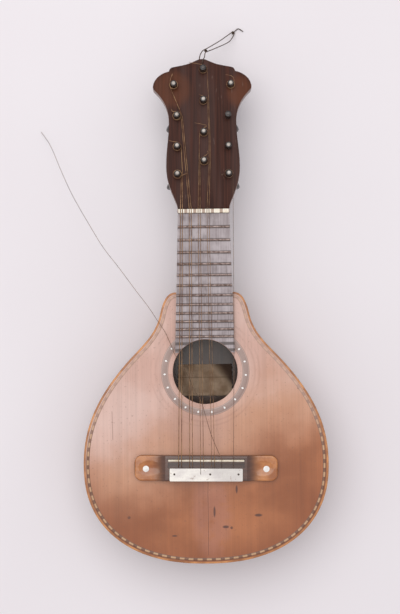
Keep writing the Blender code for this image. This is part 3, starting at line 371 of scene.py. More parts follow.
def twine_finish():
    """Two dark plies, laid 900 to the metre, under a fuzz of fine noise."""
    finish = Finish("brown_twine", roughness=0.85)
    u, v, _ = finish.parts(finish.along())
    lay = ((u * 900 + v * 2).fraction() - 0.5).size() * 2
    fibres = finish.noise(finish.place(), 900, 3)
    colour = finish.mix(lay * 0.6 + fibres * 0.4, (0.035, 0.022, 0.016), (0.13, 0.085, 0.06))
    return finish.paint(colour, relief=lay + fibres * 0.4, depth=0.0002, strength=0.8)


TWINE = twine_finish()
print("finishes:", len(bpy.data.materials))

# %% The broken string
LOOSE_RADIUS = 0.00024
LOOSE_STEPS = 220
LOOSE_ROUTE = ((0.01619, -0.17217, 0.0797), (0.01623, -0.16608, 0.0797), (0.01628, -0.15904, 0.08478),
               (0.01631, -0.15708, 0.08488), (0.0053, -0.1303, 0.0815), (-0.0042, -0.0974, 0.0795),
               (-0.0115, -0.0841, 0.0785), (-0.0243, -0.0567, 0.0778), (-0.0309, -0.0482, 0.0776),
               (-0.0345, -0.0400, 0.0775), (-0.0414, -0.0238, 0.0773), (-0.0496, -0.0110, 0.0772),
               (-0.0595, 0.0042, 0.0765), (-0.0729, 0.0220, 0.0742), (-0.0897, 0.0449, 0.0690),
               (-0.1069, 0.0673, 0.0620), (-0.1225, 0.0927, 0.0530), (-0.1404, 0.1237, 0.0400),
               (-0.1533, 0.1507, 0.0280), (-0.1667, 0.1811, 0.0130), (-0.1783, 0.1984, 0.0008))


def add_loose_string():
    """A thin tube along the route; it comes out of the tie block and ends bare."""
    path = np.vstack((LOOSE_ROUTE[:3], smooth_route(LOOSE_ROUTE[3:], LOOSE_STEPS)))
    piece = wire("broken_string", path, LOOSE_RADIUS, DARK_WIRE, sides=8)
    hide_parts("loose_string")
    return route_length(path)


print("broken string: %.3f m" % add_loose_string())

# %% The hanging twine
TWINE_RADIUS = 0.0005
TWINE_ROUTE = ((0.0, 0.2622, 0.0566), (0.0003, 0.2636, 0.0582), (0.0010, 0.2659, 0.0580),
               (0.0021, 0.2682, 0.0564), (0.0028, 0.2704, 0.0520), (0.0033, 0.2742, 0.0462),
               (0.0040, 0.2772, 0.0412), (0.0062, 0.2790, 0.0372), (0.0143, 0.2837, 0.0280),
               (0.0292, 0.2933, 0.0120), (0.0344, 0.3004, 0.0050), (0.0360, 0.3040, 0.0025),
               (0.0352, 0.3058, 0.0020), (0.0340, 0.3062, 0.0022), (0.0318, 0.3041, 0.0062),
               (0.0196, 0.2931, 0.0210), (0.0060, 0.2828, 0.0352), (0.0022, 0.2805, 0.0382),
               (-0.0004, 0.2776, 0.0397), (-0.0022, 0.2732, 0.0403), (-0.0027, 0.2690, 0.0400),
               (-0.0018, 0.2642, 0.0394), (-0.0007, 0.2608, 0.0396), (0.0, 0.2602, 0.0415))
TWINE_IN_HOLE = ((0.0, 0.2622, 0.0566), (0.0, 0.2611, 0.0480), (0.0, 0.2602, 0.0415))
TWINE_END = ((0.0352, 0.3056, 0.0022), (0.0376, 0.3081, 0.0010), (0.0410, 0.3101, 0.0008),
             (0.0460, 0.3070, 0.0008))
TWINE_STEPS, HOLE_STEPS, END_STEPS = 260, 24, 30
TWINE_PLY = {"sides": 8, "waviness": 0.10, "waves_per_metre": 900}
# Each knot's middle and its tilt in degrees.
KNOTS = {"twine_knot_near": ((0.0042, 0.2796, 0.0394), 40),
         "twine_knot_far": ((0.0350, 0.3055, 0.0024), 10)}
KNOT_SIZE = 0.0010


def knot(name, centre, tilt_deg):
    """Twine round a trefoil: radius 1 + 0.42 cos 3a at the angle 2a, and height 0.55 sin 3a, in knot
    sizes."""
    a = np.linspace(0, 2 * math.pi, 97)[:-1]
    spread = 1 + 0.42 * np.cos(3 * a)
    flat = (spread * np.cos(2 * a), spread * np.sin(2 * a))
    loop = np.column_stack((*flat, 0.55 * np.sin(3 * a))) * KNOT_SIZE
    turn = np.array(Matrix.Rotation(math.radians(tilt_deg), 3, "X"))
    grid, uv = rings_along(loop @ turn.T + centre, TWINE_RADIUS * 0.95, 8)
    return surface(name, grid, TWINE, wrap_rows=True, wrap_columns=True, uv=uv)


def add_hanging_twine():
    """The loop leaves the hole's front, goes round the far knot and comes back to the hole from behind."""
    path = smooth_route(TWINE_ROUTE, TWINE_STEPS)
    piece = wire("hanging_twine", path, TWINE_RADIUS, TWINE, **TWINE_PLY)
    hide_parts("hanging_cord")
    others = [wire(name, smooth_route(route, steps), TWINE_RADIUS, TWINE, **TWINE_PLY)
              for name, route, steps in (("twine_in_hole", TWINE_IN_HOLE, HOLE_STEPS),
                                         ("twine_end", TWINE_END, END_STEPS))]
    others += [knot(name, centre, tilt_deg) for name, (centre, tilt_deg) in KNOTS.items()]
    return route_length(path)


print("hanging twine: %.3f m" % add_hanging_twine())

# %% [markdown]
# The instrument lay on pale, faintly violet paper in soft light. A photographer's room could be built round
# it, but one broad lamp that stands beyond the head, a little to the left, and an even sky are enough: a
# colour shows about as it is written, and each edge throws a soft shadow.

# %% Table and light
PAPER, PAPER_SHADE = (0.86, 0.825, 0.86), (0.84, 0.80, 0.835)
TABLE_HALF, TABLE_Z = 2.5, -0.0003
SKY_COLOUR, SKY_STRENGTH = (1.0, 0.985, 0.995, 1.0), 0.66
LAMP_COLOUR, LAMP_POWER, LAMP_SIZE = (1.0, 0.98, 0.96), 33.0, 2.8
LAMP_PLACE = (-0.36, 0.80, 2.5)


def add_table():
    """One square of paper, a little under the instrument's back."""
    finish = Finish("pale_paper", roughness=0.9)
    patches = finish.noise(finish.place(), 3.0, 2)
    finish.paint(finish.mix(patches.rise(0.3, 0.7), PAPER, PAPER_SHADE))
    mesh = bpy.data.meshes.new("table")
    corners = [(x * TABLE_HALF, y * TABLE_HALF, TABLE_Z) for x, y in ((-1, -1), (1, -1), (1, 1), (-1, 1))]
    mesh.from_pydata(corners, [], [(0, 1, 2, 3)])
    mesh.materials.append(finish.material)
    table = bpy.data.objects.new("table", mesh)
    bpy.context.scene.collection.objects.link(table)


def add_light():
    """An even sky, and a round lamp that looks at the middle of the table."""
    world = bpy.data.worlds.new("soft_sky")
    world.use_nodes = True
    sky = world.node_tree.nodes["Background"]
    sky.inputs["Color"].default_value = SKY_COLOUR
    sky.inputs["Strength"].default_value = SKY_STRENGTH
    bpy.context.scene.world = world
    lamp = bpy.data.lights.new("broad_lamp", "AREA")
    lamp.shape = "DISK"
    lamp.size = LAMP_SIZE
    lamp.energy = LAMP_POWER
    lamp.color = LAMP_COLOUR
    holder = bpy.data.objects.new("broad_lamp", lamp)
    holder.location = LAMP_PLACE
    holder.rotation_euler = (-Vector(LAMP_PLACE)).to_track_quat("-Z", "Y").to_euler()
    bpy.context.scene.collection.objects.link(holder)
    bpy.context.scene.view_settings.view_transform = "Standard"


add_table()
add_light()
print("table and light are set")

# %% [markdown]
# The body's outline decides the soundboard, the ribs, the back, the binding and the mosaic edge. It could
# be traced, but a maker draws it from a few arcs, and so does this: knots on the drawing, joined by cubic
# arcs down to the widest place, and a squarish oval below it. They are the solids' own knots, with many
# more points.

# %% Outlines
GAP = 0.0003
low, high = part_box("back")
TAIL_Y, JOINT_Y = low[1], high[1]
BODY_HALF = high[0]
TOP_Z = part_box("soundboard")[1][2]
SIDE_TOP_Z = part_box("side_right")[1][2]
SIDE_BOTTOM_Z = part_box("side_right")[0][2]
LOWER_BOUT_LENGTH = 0.1051
LOWER_BOUT_POWER = 2.3
LOWER_BOUT_STEPS = 73
WIDEST_Y = TAIL_Y + LOWER_BOUT_LENGTH
HANDLE = 0.37


def node_middle(name):
    """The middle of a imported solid's box."""
    low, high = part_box(name)
    return (Vector(low) + Vector(high)) / 2


def arc_points(start, stop, count):
    """Points of one cubic arc between two knots (x, y, heading in, heading out), without its first point:
    u^3 first + 3 u^2 t near + 3 u t^2 far + t^3 last, where u = 1 - t, and each handle is a share of the
    chord."""
    first, last = np.array(start[:2]), np.array(stop[:2])
    reach = HANDLE * np.linalg.norm(last - first)
    leave, arrive = math.radians(start[3]), math.radians(stop[2])
    near = first + reach * np.array((math.cos(leave), math.sin(leave)))
    far = last - reach * np.array((math.cos(arrive), math.sin(arrive)))
    t = np.linspace(0, 1, count + 1)[1:, None]
    u = 1 - t
    return u ** 3 * first + 3 * u * u * t * near + 3 * u * t * t * far + t ** 3 * last


def through_knots(knots, counts):
    """The first knot and the arcs between all of them, each with its own count of points."""
    arcs = [arc_points(a, b, n) for a, b, n in zip(knots, knots[1:], counts)]
    return np.vstack([np.array([knots[0][:2]])] + arcs)


def fine_body_outline():
    """Closed outline, clockwise from the neck joint's middle; the lower bout is an oval of power 2.3."""
    upper = through_knots([(0, JOINT_Y, 0, 0), (0.0306, JOINT_Y, 0, 0),
                           (0.0472, JOINT_Y - 0.0235, -77, -77),
                           (0.0827, JOINT_Y - 0.0738, -48.5, -48.5), (BODY_HALF, WIDEST_Y, -90, -90)],
                          (16, 30, 34, 40))
    angle = np.linspace(0, math.pi / 2, LOWER_BOUT_STEPS)[1:]
    x = BODY_HALF * np.cos(angle) ** (2 / LOWER_BOUT_POWER)
    x[-1] = 0.0
    y = WIDEST_Y - (WIDEST_Y - TAIL_Y) * np.sin(angle) ** (2 / LOWER_BOUT_POWER)
    half = np.vstack((upper, np.column_stack((x, y))))
    return np.vstack((half, half[-2:0:-1] * (-1, 1)))


def moved_in(loop, inset):
    """The clockwise loop moved inwards along its own normals."""
    along = np.roll(loop, -1, axis=0) - np.roll(loop, 1, axis=0)
    along /= np.linalg.norm(along, axis=1)[:, None]
    return loop + inset * np.column_stack((along[:, 1], -along[:, 0]))


BODY = fine_body_outline()

# %% Rings round an outline


def way_round(loop):
    """Distance travelled along a closed loop at each of its points, in metres."""
    step = np.linalg.norm(np.diff(loop, axis=0, append=loop[:1]), axis=1)
    return np.concatenate(([0], np.cumsum(step)[:-1]))


def rows_round(loop, profile):
    """For each (inset, height) of a profile, the loop moved in by the inset and lifted to the height."""
    return np.stack([np.column_stack((moved_in(loop, inset), np.full(len(loop), height)))
                     for inset, height in profile])


def rounded_foot(corner, bottom, steps):
    """A quarter round at the bottom of a profile: inset r (1 - sin a), height bottom + r (1 - cos a)."""
    return [(corner * (1 - math.sin(a)), bottom + corner * (1 - math.cos(a)))
            for a in np.linspace(0, math.pi / 2, steps)]


def rounded_rim(corner, top, steps):
    """A quarter round at the top of a profile: inset r (1 - cos a), height top - r (1 - sin a)."""
    return [(corner * (1 - math.cos(a)), top - corner * (1 - math.sin(a)))
            for a in np.linspace(0, math.pi / 2, steps)]


def ring_piece(name, profile, finish, across=None):
    """A closed profile of (inset, height) points carried round the body; UV is way round and way across."""
    if across is None:
        across = [inset for inset, _ in profile]
    uv = np.stack(np.broadcast_arrays(way_round(BODY)[None, :], np.array(across)[:, None]), axis=-1)
    # One column of the UV map runs back to the start; it lies at the neck joint, under the fretboard.
    return surface(name, rows_round(BODY, profile), finish, wrap_rows=True, wrap_columns=True, uv=uv)


print("body outline: %d points, %.3f m round" % (len(BODY), way_round(BODY)[-1]))

# %% [markdown]
# The top is a plate of old cedar under worn varnish. Each mark could be painted on by hand, but layers of
# noise and a few soft ovals hold at any size: the fine growth lines, broad stains, a crack at the tail, and
# a painted pale milky sheen towards the shoulders, with a painted violet sheen near the tail.

# %% Finish of the soundboard
HOLE_RADIUS = 0.0341
HOLE_Y = float((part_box("rosette")[0][1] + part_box("rosette")[1][1]) / 2)
FAINT_RINGS = (0.0525, 0.0572)
# Dark stains on the top: the middle and the radii of each oval.
STAINS = (((0.0545, -0.2170), (0.0042, 0.0016)), ((-0.0820, -0.2180), (0.0018, 0.0018)),
          ((0.0200, -0.2290), (0.0035, 0.0016)), ((0.0262, -0.2300), (0.0016, 0.0016)),
          ((0.0318, -0.1895), (0.0012, 0.0045)), ((0.0082, -0.2130), (0.0012, 0.0060)),
          ((-0.0340, -0.2380), (0.0030, 0.0009)), ((0.0985, -0.0830), (0.0018, 0.0018)))


def soundboard_finish():
    """Warm wood at the tail that turns upwards into a painted pale milky sheen, then the rim, ovals, rings,
    lines, crack and stains on it; one oval near the tail is a painted violet sheen."""
    finish = Finish("old_cedar_top", roughness=0.42, coat=0.25, coat_roughness=0.28)
    place = finish.place()
    x, y, _ = finish.parts(place)
    lines = finish.noise(place.scaled((900.0, 9.0, 9.0)), 1.0, 3)
    wide_lines = finish.noise(place.scaled((170.0, 3.0, 3.0)), 1.0, 2)
    clouds = finish.noise(place, 16, 4)
    wear = finish.noise(place, 60, 5)
    upward = (y + x * -0.45 + clouds * 0.07 - 0.035).rise(-0.245, -0.035)
    warm = finish.mix(clouds.rise(0.3, 0.7), (0.27, 0.078, 0.022), (0.43, 0.150, 0.055))
    middle = finish.mix(clouds.rise(0.3, 0.7), (0.50, 0.235, 0.130), (0.56, 0.295, 0.190))
    # The pale, milky colour that the top takes towards the shoulders is painted sheen.
    milky_sheen = finish.mix(clouds.rise(0.35, 0.7), (0.57, 0.34, 0.275), (0.66, 0.45, 0.39))
    base = finish.mix(upward.rise(0.05, 0.55), warm, middle)
    base = finish.mix(upward.rise(0.5, 1.0), base, milky_sheen)
    rim = (x * x / 0.0167 + (y + 0.165) * (y + 0.165) / 0.0112).rise(0.50, 1.05)
    base = finish.mix(rim * (1 - y.rise(-0.215, -0.13)) * 0.75, base, (0.27, 0.075, 0.022))
    # A violet oval near the tail, streaked by the wear noise, is painted sheen.
    violet = dot_mask(x, y, (0.006, -0.215), (0.022, 0.050)) * wear.rise(0.3, 0.6)
    base = finish.mix(violet * 0.35, base, (0.40, 0.18, 0.145))
    strum = dot_mask(x, y, (-0.006, -0.122), (0.036, 0.034))
    base = finish.mix(strum * 0.35, base, (0.44, 0.26, 0.22))
    from_hole = (x * x + (y - HOLE_Y) * (y - HOLE_Y)).maths("SQRT")
    for radius in FAINT_RINGS:
        ring = 1 - (from_hole - radius).size().rise(0.0004, 0.0014)
        base = finish.mix(ring * 0.16 * wear.rise(0.3, 0.6), base, (0.25, 0.11, 0.08))
    base = finish.shade(base, lines * 0.30 + wide_lines * 0.22 + 0.76)
    crack = (x - 0.0016 + wear * 0.0012 - 0.0006).size().below(0.00022) * y.below(-0.178) * y.above(-0.258)
    base = finish.mix(crack * 0.8, base, (0.06, 0.022, 0.012))
    marks = dot_mask(x, y, *STAINS[0])
    for centre, radii in STAINS[1:]:
        marks = marks.maths("MAXIMUM", dot_mask(x, y, centre, radii))
    speckle = (finish.noise(place, 420, 3) - 0.62).rise(0.0, 0.10)
    base = finish.mix(marks * wear.rise(0.25, 0.5) * 0.85, base, (0.065, 0.022, 0.018))
    base = finish.mix(speckle * 0.35, base, (0.16, 0.07, 0.04))
    scratch = (x + 0.0985 + (y + 0.12) * 0.02).size().below(0.00035) * y.below(-0.106) * y.above(-0.136)
    base = finish.mix(scratch * 0.55, base, (0.20, 0.085, 0.06))
    return finish.paint(base, clouds * 0.18 + wear * 0.16 + 0.26,
                        relief=lines * 0.5 + wear * 0.5 - crack * 3.0, depth=0.00012, strength=0.35)


CEDAR_TOP = soundboard_finish()

# %% The soundboard
BOARD_INSET = 0.0022
HOLE_EDGE_DROP = 0.0005


def add_soundboard():
    """A plate between the hole's circle and the outline: each row is a share of the way from one to the
    other, first over the top from the softened edge of the hole, then back along the underside."""
    outer = moved_in(BODY, BOARD_INSET)
    angle = np.arctan2(outer[:, 1] - HOLE_Y, outer[:, 0])
    circle = np.column_stack((HOLE_RADIUS * np.cos(angle), HOLE_Y + HOLE_RADIUS * np.sin(angle)))
    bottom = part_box("soundboard")[0][2]
    shares = np.array([0, 0, 0.01, 0.25, 0.5, 0.75, 1, 1, 0.75, 0.25])[:, None, None]
    heights = np.array([bottom, TOP_Z - HOLE_EDGE_DROP] + [TOP_Z] * 5 + [bottom] * 3)
    flat = circle[None] * (1 - shares) + outer[None] * shares
    grid = np.dstack((flat, np.broadcast_to(heights[:, None], flat.shape[:2])))
    piece = surface("cedar_soundboard", grid, CEDAR_TOP, wrap_rows=True, wrap_columns=True)
    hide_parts("soundboard")
    return len(piece.data.polygons)


print("soundboard faces:", add_soundboard())

# %% [markdown]
# Round the edge runs an orange-brown binding, its corner worn round, and inside it a mosaic of light and
# dark blocks. Hundreds of blocks could be modelled one by one. They are flush and glued tight, so a single
# ring with a pattern looks the same, and the pattern counts the way round, read from the ring's own UV map.

# %% Finishes of the binding and the mosaic edge
BLOCK_PAIRS_PER_METRE = 103.0
MOSAIC_MIDDLE_INSET = 0.00455
MOSAIC_HALF_WIDTH = 0.00085


def worn_wood(name, light, dark, roughness, coat, stretch):
    """Two tones of wood mixed by a grain that is squeezed across it, shaded and roughened by wear."""
    finish = Finish(name, roughness=roughness, coat=coat, coat_roughness=0.2)
    place = finish.place()
    grain = finish.noise(place.scaled(stretch), 1.0, 4)
    wear = finish.noise(place, 45, 4)
    colour = finish.mix(grain.rise(0.3, 0.7), dark, light)
    return finish.paint(finish.shade(colour, wear * 0.5 + 0.75), wear * 0.25 + roughness - 0.12,
                        relief=grain + wear, depth=0.00015, strength=0.3)


BINDING = worn_wood("orange_binding", (0.62, 0.27, 0.095), (0.34, 0.125, 0.042), 0.38, 0.3,
                    (90.0, 90.0, 90.0))


def mosaic_finish():
    """A block is light where the fraction of the way round, counted in pairs, is near its middle."""
    finish = Finish("edge_mosaic", roughness=0.42, coat=0.2)
    u, across, _ = finish.parts(finish.along())
    place = finish.place()
    _, y, _ = finish.parts(place)
    clouds = finish.noise(place, 40, 3)
    fine = finish.noise(place, 700, 2)
    block = (u * BLOCK_PAIRS_PER_METRE + clouds * 0.10).fraction()
    light = (block - 0.5).size().below(0.27)
    line = (across - MOSAIC_MIDDLE_INSET).size().above(MOSAIC_HALF_WIDTH)
    cream = finish.mix(fine * 0.5 + clouds * 0.5, (0.40, 0.21, 0.10), (0.66, 0.43, 0.26))
    dark = finish.mix(fine, (0.12, 0.05, 0.028), (0.27, 0.13, 0.075))
    colour = finish.mix(light, dark, cream)
    colour = finish.mix(line * 0.8, colour, (0.11, 0.042, 0.022))
    # Paler towards the shoulders: painted sheen, the same milky sheen as on the soundboard.
    worn = (y + clouds * 0.05).rise(-0.14, -0.04)
    colour = finish.mix(worn * 0.68, colour, (0.58, 0.38, 0.31))
    return finish.paint(colour, fine * 0.2 + 0.32, relief=light, depth=0.00006, strength=0.4)


EDGE_MOSAIC = mosaic_finish()

# %% Binding and mosaic edge
BINDING_CORNER = 0.0011
BINDING_WIDTH = BOARD_INSET - 0.0001
MOSAIC_INSETS = (0.0030, 0.0061)
INLAY_PROUD = 0.00006
INLAY_BEVEL = 0.0001


def inlay_profile(inner, outer, floor, drop):
    """Six points of a strip let into the top: it stands a hair proud, and each corner falls by the drop."""
    proud = TOP_Z + INLAY_PROUD
    return [(inner, floor), (inner, proud - drop), (inner + INLAY_BEVEL, proud),
            (outer - INLAY_BEVEL, proud), (outer, proud - drop), (outer, floor)]


def add_edge_trim():
    """The binding is a wall with a quarter round on top; the mosaic is a strip let in beside it."""
    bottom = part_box("binding")[0][2]
    profile = [(0.0, bottom)] + rounded_rim(BINDING_CORNER, TOP_Z, 6)
    profile += [(BINDING_WIDTH, TOP_Z), (BINDING_WIDTH, bottom)]
    binding = ring_piece("worn_binding", profile, BINDING)
    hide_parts("binding")
    profile = inlay_profile(*MOSAIC_INSETS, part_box("purfling")[0][2], 0.00005)
    mosaic = ring_piece("mosaic_edge", profile, EDGE_MOSAIC)
    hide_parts("purfling")


add_edge_trim()
print("binding and mosaic edge are laid")

# %% [markdown]
# The rosette is a brown mosaic ring with thirteen pale lozenges of shell between thin light and dark lines,
# let in round the hole. Loose lozenges could be modelled, but on the real one they are level with the ring,
# so they are painted: the ring's UV map holds the angle and the radius, and a lozenge is where both are
# near its middle.

# %% Finish of the rosette
ROSETTE_RADII = (0.0391, 0.0467)
ROSETTE_MIDDLE = 0.0429
LOZENGES, LOZENGE_ARC, LOZENGE_SHIFT = 13.0, 1.38 * math.pi, 0.21


def rosette_finish():
    """A point is on a lozenge where 12.5 |turn| + 640 |radius - middle| is less than 1, turn from -0.5 to
    0.5."""
    finish = Finish("rosette_mosaic", roughness=0.36, coat=0.35, coat_roughness=0.2)
    angle, radius, _ = finish.parts(finish.along())
    place = finish.place()
    fine = finish.noise(place, 800, 2)
    clouds = finish.noise(place, 60, 3)
    chips = ((angle * 42.0).fraction() - 0.5).size() * 2
    ground = finish.mix(fine * 0.6 + clouds * 0.4, (0.24, 0.145, 0.12), (0.46, 0.33, 0.29))
    ground = finish.mix(chips.rise(0.55, 0.9) * fine.rise(0.3, 0.6) * 0.5, ground, (0.22, 0.15, 0.14))
    from_middle = (radius - ROSETTE_MIDDLE).size()
    ground = finish.mix(from_middle.rise(0.0026, 0.0029) * 0.5, ground, (0.68, 0.52, 0.46))
    ground = finish.mix(from_middle.rise(0.0031, 0.0034) * 0.6, ground, (0.28, 0.12, 0.08))
    turn = ((angle + LOZENGE_SHIFT) * (LOZENGES / LOZENGE_ARC)).fraction() - 0.5
    lozenge = turn.size() * 12.5 + from_middle * 640.0
    shell = lozenge.below(1.0)
    ground = finish.mix((1 - lozenge.rise(1.0, 1.9)) * 0.4, ground, (0.20, 0.13, 0.12))
    pearl = finish.mix(fine, (0.90, 0.88, 0.85), (1.0, 0.98, 0.95))
    colour = finish.mix(shell, ground, pearl)
    return finish.paint(colour, fine * 0.25 + 0.22, relief=shell + fine * 0.3, depth=0.00008, strength=0.4)


ROSETTE = rosette_finish()

# %% The rosette
CIRCLE_STEPS = 192


def circle_piece(name, profile, finish):
    """A closed profile of (radius, height) points turned round the hole's middle; UV is angle and
    radius."""
    angle = np.arange(CIRCLE_STEPS) * 2 * math.pi / CIRCLE_STEPS
    profile = np.array(profile)
    x = profile[:, :1] * np.cos(angle)[None]
    y = HOLE_Y + profile[:, :1] * np.sin(angle)[None]
    z = np.broadcast_to(profile[:, 1:], x.shape)
    measured = (angle - math.pi / 2) % (2 * math.pi)
    uv = np.stack(np.broadcast_arrays(measured[None], profile[:, :1]), axis=-1)
    return surface(name, np.dstack((x, y, z)), finish, wrap_rows=True, wrap_columns=True, uv=uv)


def add_rosette():
    """The strip's profile as for the mosaic edge, in the other order, carried round the hole."""
    profile = inlay_profile(*ROSETTE_RADII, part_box("rosette")[0][2], 0.00004)[::-1]
    piece = circle_piece("shell_rosette", profile, ROSETTE)
    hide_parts("rosette")


add_rosette()
print("rosette centre y: %.4f m" % HOLE_Y)

# %% [markdown]
# The ribs are thin strips bent to the outline, and the back is a plate of the same darker wood in two
# halves. A block could be hollowed out, but a wall carried round the outline bends its figure with it: the
# figure is read from the UV map, which counts the way round. The back keeps a soft edge where it meets the
# ribs.

# %% Finishes of the ribs and the back


def rib_finish():
    """Figure that runs along the rib, 30 to the metre one way and 420 the other, clouded by old varnish."""
    finish = Finish("varnished_ribs", roughness=0.34, coat=0.4, coat_roughness=0.15)
    place = finish.place()
    figure = finish.noise(finish.along().scaled((30.0, 420.0, 1.0)), 1.0, 4)
    clouds = finish.noise(place, 22, 4)
    colour = finish.mix(figure.rise(0.3, 0.72), (0.13, 0.050, 0.022), (0.30, 0.125, 0.055))
    colour = finish.shade(colour, clouds * 0.6 + 0.7)
    return finish.paint(colour, clouds * 0.22 + 0.22, relief=figure, depth=0.0001, strength=0.25)


def back_finish():
    """The same wood in straight figure, with a dark joint where |x| is small and a dark, unlit inside
    face."""
    finish = Finish("varnished_back", roughness=0.36, coat=0.4, coat_roughness=0.15)
    place = finish.place()
    x, _, z = finish.parts(place)
    figure = finish.noise(place.scaled((260.0, 10.0, 10.0)), 1.0, 4)
    clouds = finish.noise(place, 14, 4)
    inside = z.above(0.0015)
    colour = finish.mix(figure.rise(0.3, 0.72), (0.13, 0.050, 0.022), (0.29, 0.12, 0.052))
    colour = finish.shade(colour, clouds * 0.6 + 0.7)
    joint = x.size().below(0.0002)
    colour = finish.mix(joint * 0.7, colour, (0.04, 0.015, 0.01))
    colour = finish.mix(inside * 0.75, colour, (0.035, 0.018, 0.014))
    return finish.paint(colour, clouds * 0.22 + 0.24, relief=figure - joint, depth=0.0001, strength=0.25)


RIB_WOOD = rib_finish()
BACK_WOOD = back_finish()

# %% Ribs and back
RIB_THICKNESS = 0.0021
RIB_UV_ACROSS = (0.0, 0.07, 0.072, 0.14)
BACK_CORNER, BACK_PANEL_INSET = 0.0012, 0.02


def add_ribs_and_back():
    """The ribs are a four-sided profile carried round; the back is rows round the outline, closed by two
    caps."""
    profile = [(0.0, SIDE_BOTTOM_Z - GAP), (0.0, SIDE_TOP_Z + GAP),
               (RIB_THICKNESS, SIDE_TOP_Z), (RIB_THICKNESS, SIDE_BOTTOM_Z)]
    ribs = ring_piece("bent_ribs", profile, RIB_WOOD, RIB_UV_ACROSS)
    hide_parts("side_left", "side_right")
    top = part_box("back")[1][2]
    profile = [(BACK_PANEL_INSET, 0.0)] + rounded_foot(BACK_CORNER, 0.0, 5)
    profile += [(0.0, top), (BACK_PANEL_INSET, top)]
    back = surface("joined_back", rows_round(BODY, profile), BACK_WOOD, wrap_columns=True, caps=True)
    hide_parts("back")


add_ribs_and_back()
print("ribs stand %.1f mm high" % ((SIDE_TOP_Z - SIDE_BOTTOM_Z) * 1000))

# %% [markdown]
# Inside, on the back, a plain aged sheet of paper shows through the hole. It carries no words. A flat card
# would do from above, but old paper lifts at its corners and has ragged ends, which a grid with a little
# sine gives.

# %% Paper in the sound box
PAPER_HALF_LENGTH, PAPER_HALF_WIDTH, PAPER_WALL = 0.030, 0.0175, 0.0002
PAPER_Y, PAPER_FOLD_Y = -0.0775, -0.0745


def add_inner_paper():
    """Height over the back: a lift that grows with the sixth power of the distance from the middle."""
    finish = Finish("aged_paper", roughness=0.85)
    place = finish.place()
    x, y, _ = finish.parts(place)
    stain = finish.noise(place, 70, 4)
    fibres = finish.noise(place.scaled((300.0, 900.0, 1.0)), 1.0, 3)
    colour = finish.mix(stain.rise(0.3, 0.7), (0.42, 0.27, 0.17), (0.74, 0.55, 0.39))
    fold = (y - PAPER_FOLD_Y).size().below(0.0005)
    colour = finish.mix(fold * 0.5, colour, (0.16, 0.08, 0.045))
    # Painted shadow of the soundboard's edge over the paper's upper right part, towards the middle of the
    # hole.
    rim_shadow = (x * 1.2 + y + stain * 0.02).rise(-0.045, -0.028)
    colour = finish.mix(rim_shadow, colour, (0.10, 0.055, 0.035))
    finish.paint(colour, relief=fibres + stain, depth=0.0003, strength=0.5)
    u, v = np.meshgrid(np.linspace(-1, 1, 40), np.linspace(-1, 1, 24))
    lift = 0.0005 + 0.0006 * (np.abs(u) ** 6 + np.abs(v) ** 6) * (0.5 + 0.5 * np.sin(3 * u + 2 * v))
    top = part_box("back")[1][2]
    ragged = 0.0006 * np.sin(23 * v + 3 * u)
    grid = np.dstack((PAPER_HALF_LENGTH * u + ragged, PAPER_Y + PAPER_HALF_WIDTH * v, top + lift))
    paper = surface("inner_paper", grid, finish)
    thick = paper.modifiers.new("paper_wall", "SOLIDIFY")
    thick.thickness = PAPER_WALL


add_inner_paper()
print("inner paper is laid")

# %% [markdown]
# The head leans back by 7.5 degrees. Its pieces could be turned as objects, but then their places would be
# in their objects and not in their meshes, so each is made in the head's own flat frame and its points are
# carried over by one function. The sizes are the same named ones that the solids were drawn with.

# %% The head's own frame
HEAD_TILT_DEG = 7.5
HEAD_LENGTH = 0.1622
NUT_HALF = 0.0271
NUT_DEPTH = 0.0042
HEAD_FACE_RISE = 0.0034
VENEER, VENEER_CORNER = 0.0015, 0.0005
CORE, CORE_CORNER = 0.0132, 0.0012
TILT = math.radians(HEAD_TILT_DEG)
NUT_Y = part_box("nut")[0][1]
HEAD_START_Y = NUT_Y + NUT_DEPTH + GAP + HEAD_FACE_RISE * math.tan(TILT)
HEAD_FACE_Z = TOP_Z + HEAD_FACE_RISE
HEAD_BACK = -(VENEER + GAP + CORE)
CORE_TOP = -(VENEER + GAP)


def on_head(points):
    """Points (u, v, height over the face) carried to the leaning head."""
    points = np.asarray(points, dtype=float)
    u, v, h = points[..., 0], points[..., 1], points[..., 2]
    y = HEAD_START_Y + v * math.cos(TILT) + h * math.sin(TILT)
    z = HEAD_FACE_Z - v * math.sin(TILT) + h * math.cos(TILT)
    return np.stack((u, y, z), axis=-1)


def fine_head_outline():
    """The right side's knots joined by cubic arcs, and the same points mirrored for the left side."""
    top = HEAD_LENGTH
    right = through_knots([(NUT_HALF, 0.0, 84, 84), (0.0317, 0.0140, 68, 68), (0.0389, 0.0455, 90, 90),
                           (0.0358, 0.0940, 90, 90), (0.0512, top - 0.0332, 45, 45),
                           (0.0525, top - 0.0298, 97, 97), (0.0353, top - 0.0133, 168, 100),
                           (0.0315, top - 0.0088, 168, 168), (0.0150, top - 0.0052, 163, 163),
                           (0.0035, top - 0.0004, 160, 160), (0.0, top, 180, 180)],
                          (12, 20, 24, 28, 8, 28, 12, 12, 12, 4))
    # Clockwise from the middle of the top, down the right side and up the left one.
    half = right[::-1]
    return np.vstack((half, half[::-1] * (-1, 1)))[:-1]


HEAD_OUTLINE = fine_head_outline()


def head_plate(name, bottom, top, corner, finish):
    """A flat piece of the head's outline between two heights over its face, rounded at both edges."""
    rows = rounded_foot(corner, bottom, 5) + rounded_rim(corner, top, 5)
    return surface(name, on_head(rows_round(HEAD_OUTLINE, rows)), finish, wrap_columns=True, caps=True)


# %% Finishes of the head and neck


